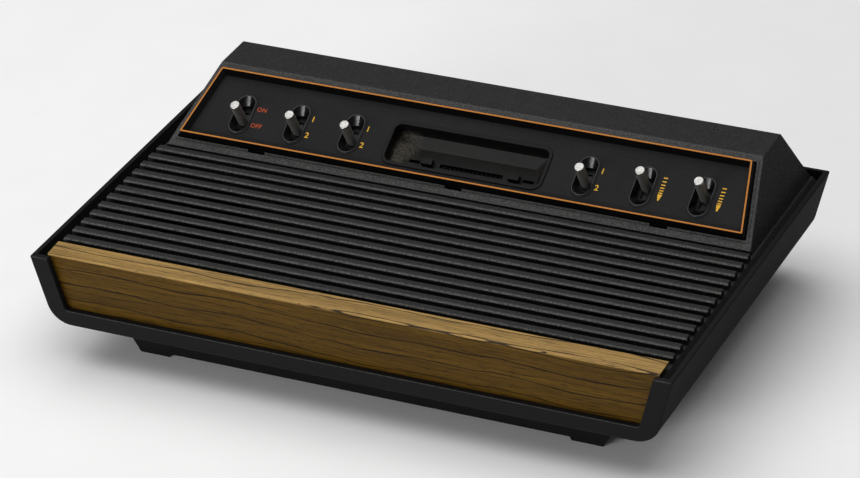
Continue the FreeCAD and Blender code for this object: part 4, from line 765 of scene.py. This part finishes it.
# Small parts on the boards: lacquered resistors, sleeved capacitors, the turned brass aerial
# socket and the flat ribbon cable, each with the finish that it is bought with.
lacquer, tree, shader = new_finish(
    "lacquered resistor", "B08A58", IOR=1.5, Coat_Weight=0.5, Coat_Roughness=0.15
)
rings = add(
    tree, "ShaderNodeTexWave", {"Vector": places(tree, 6.0, turn=-PANEL_TILT), "Scale": 1.0},
    "Fac", wave_type="BANDS", bands_direction="Y",
)
smears = add(tree, "ShaderNodeTexNoise", {"Vector": places(tree, 1.0), "Scale": 1.0})
surface(
    tree, shader, tones=(rings, 0.78, 0.82, "B8925F", "5A2C1C"),
    gloss=(smears, 0.3, 0.7, 0.3, 0.45),
)
dress(lacquer, "board_resistors")

sleeve, tree, shader = new_finish("shrunk PVC sleeve, blue", "1B2C5C", IOR=1.53)
wrinkles = add(
    tree, "ShaderNodeTexNoise",
    {"Vector": places(tree, 2.0, stretch=(1.0, 4.0, 1.0)), "Scale": 1.0, "Detail": 3.0},
)
surface(
    tree, shader, tones=(wrinkles, 0.35, 0.7, "1E3064", "14224A"),
    gloss=(wrinkles, 0.3, 0.7, 0.22, 0.38), relief=(wrinkles, 0.03),
)
dress(sleeve, "filter_capacitors")

brass, tree, shader = new_finish("turned brass", "C9A45C", Metallic=1.0)
lathe = add(
    tree, "ShaderNodeTexNoise",
    {"Vector": places(tree, 0.3, stretch=(1.0, 30.0, 30.0)), "Scale": 1.0, "Detail": 1.0},
)
tarnish = add(
    tree, "ShaderNodeTexNoise", {"Vector": places(tree, 3.0), "Scale": 1.0, "Detail": 3.0}
)
surface(
    tree, shader, tones=(tarnish, 0.35, 0.7, "CFAA62", "A98446"),
    gloss=(tarnish, 0.3, 0.7, 0.24, 0.4), relief=(lathe, 0.008),
)
dress(brass, "phono_socket")

ribbon, tree, shader = new_finish("extruded PVC, grey", "8C8C8E", IOR=1.53)
drawn = add(
    tree, "ShaderNodeTexNoise",
    {"Vector": places(tree, 0.6, stretch=(1.0, 18.0, 18.0)), "Scale": 1.0},
)
surface(
    tree, shader, tones=(drawn, 0.35, 0.7, "949496", "7B7B7E"),
    gloss=(drawn, 0.3, 0.7, 0.38, 0.5), relief=(drawn, 0.01),
)
dress(ribbon, "ribbon_cable")

# Heat sink: a folded strip of bare aluminium on the board, which cools the regulator. The
# mill's rolling lines still run along it and give it a silky grain, drawn coarser than it is so
# that it shows.
milled, tree, shader = new_finish("rolled aluminium", "BDBDBE", Metallic=1.0)
rolled = add(
    tree, "ShaderNodeTexNoise",
    {"Vector": places(tree, 0.3, stretch=(40.0, 1.0, 1.0)), "Scale": 1.0},
)
surface(
    tree, shader, tones=(rolled, 0.3, 0.7, "C4C4C5", "A9A9AA"),
    gloss=(rolled, 0.3, 0.7, 0.28, 0.42), relief=(rolled, 0.006),
)
dress(milled, "heat_sink")

# Channel switch's knob: black acetal from a polished mould, which slides in the rear wall.
# Fingertips have left fine scratches across its face, drawn wider than they are.
knob, tree, shader = new_finish("polished acetal, black", "131313", IOR=1.48)
scratches = add(
    tree, "ShaderNodeTexNoise",
    {"Vector": places(tree, 0.3, stretch=(12.0, 1.0, 1.0)), "Scale": 1.0, "Detail": 3.0},
)
surface(
    tree, shader, tones=(scratches, 0.6, 0.8, "131313", "262626"),
    gloss=(scratches, 0.3, 0.7, 0.18, 0.36), relief=(scratches, 0.008),
)
dress(knob, "channel_switch_knob")

# Cord grommet: a moulded ring of black rubber, pushed into the hole in the rear wall that the
# aerial lead comes out of. A dry bloom dulls it.
rubber, tree, shader = new_finish("moulded rubber", "171717", IOR=1.52)
bloom = add(
    tree, "ShaderNodeTexNoise", {"Vector": places(tree, 1.6), "Scale": 1.0, "Detail": 4.0}
)
surface(
    tree, shader, tones=(bloom, 0.4, 0.75, "161616", "2A2A29"),
    gloss=(bloom, 0.3, 0.7, 0.62, 0.82), relief=(bloom, 0.03),
)
dress(rubber, "cord_grommet")

# Screws: cold-headed steel, zinc plated and clear passivated, that hold the case, the shield
# and the switch board. They have a faint blue cast and dull patches.
zinc, tree, shader = new_finish("zinc plated steel", "A9ABAE", Metallic=1.0)
patches = add(
    tree, "ShaderNodeTexNoise", {"Vector": places(tree, 1.2), "Scale": 1.0, "Detail": 3.0}
)
surface(
    tree, shader, tones=(patches, 0.35, 0.7, "B3B5B8", "8E9094"),
    gloss=(patches, 0.3, 0.7, 0.3, 0.48), relief=(patches, 0.01),
)
dress(zinc, "case_screws", "switch_board_screws", "shield_screws")

# Studio: a pale matt floor, one large soft light above the console, a long narrow one low in
# front of it at the left, and a dim grey surround that fills the shadows.
FLOOR_HALF = 30.0
SURROUND_STRENGTH = 0.15
AIM = Vector((0.0, 0.0, 0.05))
LIGHTS = (
    ("soft light above", (-0.25, 0.12, 1.7), 2.4, 2.4, 33.0),
    ("soft light in front", (-0.72, -1.82, 0.45), 1.2, 0.3, 21.0),
)

floor_shape = bmesh.new()
bmesh.ops.create_grid(floor_shape, x_segments=1, y_segments=1, size=FLOOR_HALF)
floor_mesh = bpy.data.meshes.new("floor")
floor_shape.to_mesh(floor_mesh)
floor_shape.free()
floor = bpy.data.objects.new("floor", floor_mesh)
bpy.context.collection.objects.link(floor)
paint, tree, shader = new_finish("matt floor paint", "F9F9F9", Roughness=0.9)
mottle = add(tree, "ShaderNodeTexNoise", {"Vector": places(tree, 40.0), "Scale": 1.0})
surface(tree, shader, tones=(mottle, 0.0, 1.0, "FBFBFB", "F6F6F6"))
floor_mesh.materials.append(paint)

for name, place, width, height, power in LIGHTS:
    lamp = bpy.data.lights.new(name, "AREA")
    lamp.shape = "RECTANGLE"
    lamp.size = width
    lamp.size_y = height
    lamp.energy = power
    holder = bpy.data.objects.new(name, lamp)
    holder.matrix_world = Matrix.Translation(place) @ (
        (Vector(place) - AIM).to_track_quat("Z", "Y").to_matrix().to_4x4()
    )
    bpy.context.collection.objects.link(holder)

world = bpy.data.worlds.new("surround")
world.use_nodes = True
surround = world.node_tree.nodes["Background"]
surround.inputs["Color"].default_value = linear("FFFFFF")
surround.inputs["Strength"].default_value = SURROUND_STRENGTH
bpy.context.scene.world = world
bpy.context.scene.view_settings.view_transform = "Standard"

# Camera: a long lens from the front right, at the angle, distance and slight roll that lay the
# console's corners on those of the photograph, 860 by 478 pixels.
CAMERA_AZIMUTH = math.radians(25.398)
CAMERA_ELEVATION = math.radians(29.545)
CAMERA_ROLL = math.radians(-2.440)
CAMERA_PLACE = (0.78674, -1.66327, 1.08762)
PHOTO_WIDTH = 860
FOCAL_PIXELS = 4138.0
SENSOR_WIDTH = 36.0
FARTHEST = 100.0

back = Vector((
    math.sin(CAMERA_AZIMUTH) * math.cos(CAMERA_ELEVATION),
    -math.cos(CAMERA_AZIMUTH) * math.cos(CAMERA_ELEVATION),
    math.sin(CAMERA_ELEVATION),
))
level = Vector((math.cos(CAMERA_AZIMUTH), math.sin(CAMERA_AZIMUTH), 0.0))
upright = back.cross(level)
across = math.cos(CAMERA_ROLL) * level + math.sin(CAMERA_ROLL) * upright
upward = math.cos(CAMERA_ROLL) * upright - math.sin(CAMERA_ROLL) * level
camera_data = bpy.data.cameras.new("camera")
camera_data.sensor_fit = "HORIZONTAL"
camera_data.sensor_width = SENSOR_WIDTH
camera_data.lens = FOCAL_PIXELS / PHOTO_WIDTH * SENSOR_WIDTH
camera_data.clip_end = FARTHEST
camera = bpy.data.objects.new("camera", camera_data)
camera.matrix_world = Matrix((
    (across.x, upward.x, back.x, CAMERA_PLACE[0]),
    (across.y, upward.y, back.y, CAMERA_PLACE[1]),
    (across.z, upward.z, back.z, CAMERA_PLACE[2]),
    (0.0, 0.0, 0.0, 1.0),
))
bpy.context.collection.objects.link(camera)
bpy.context.scene.camera = camera
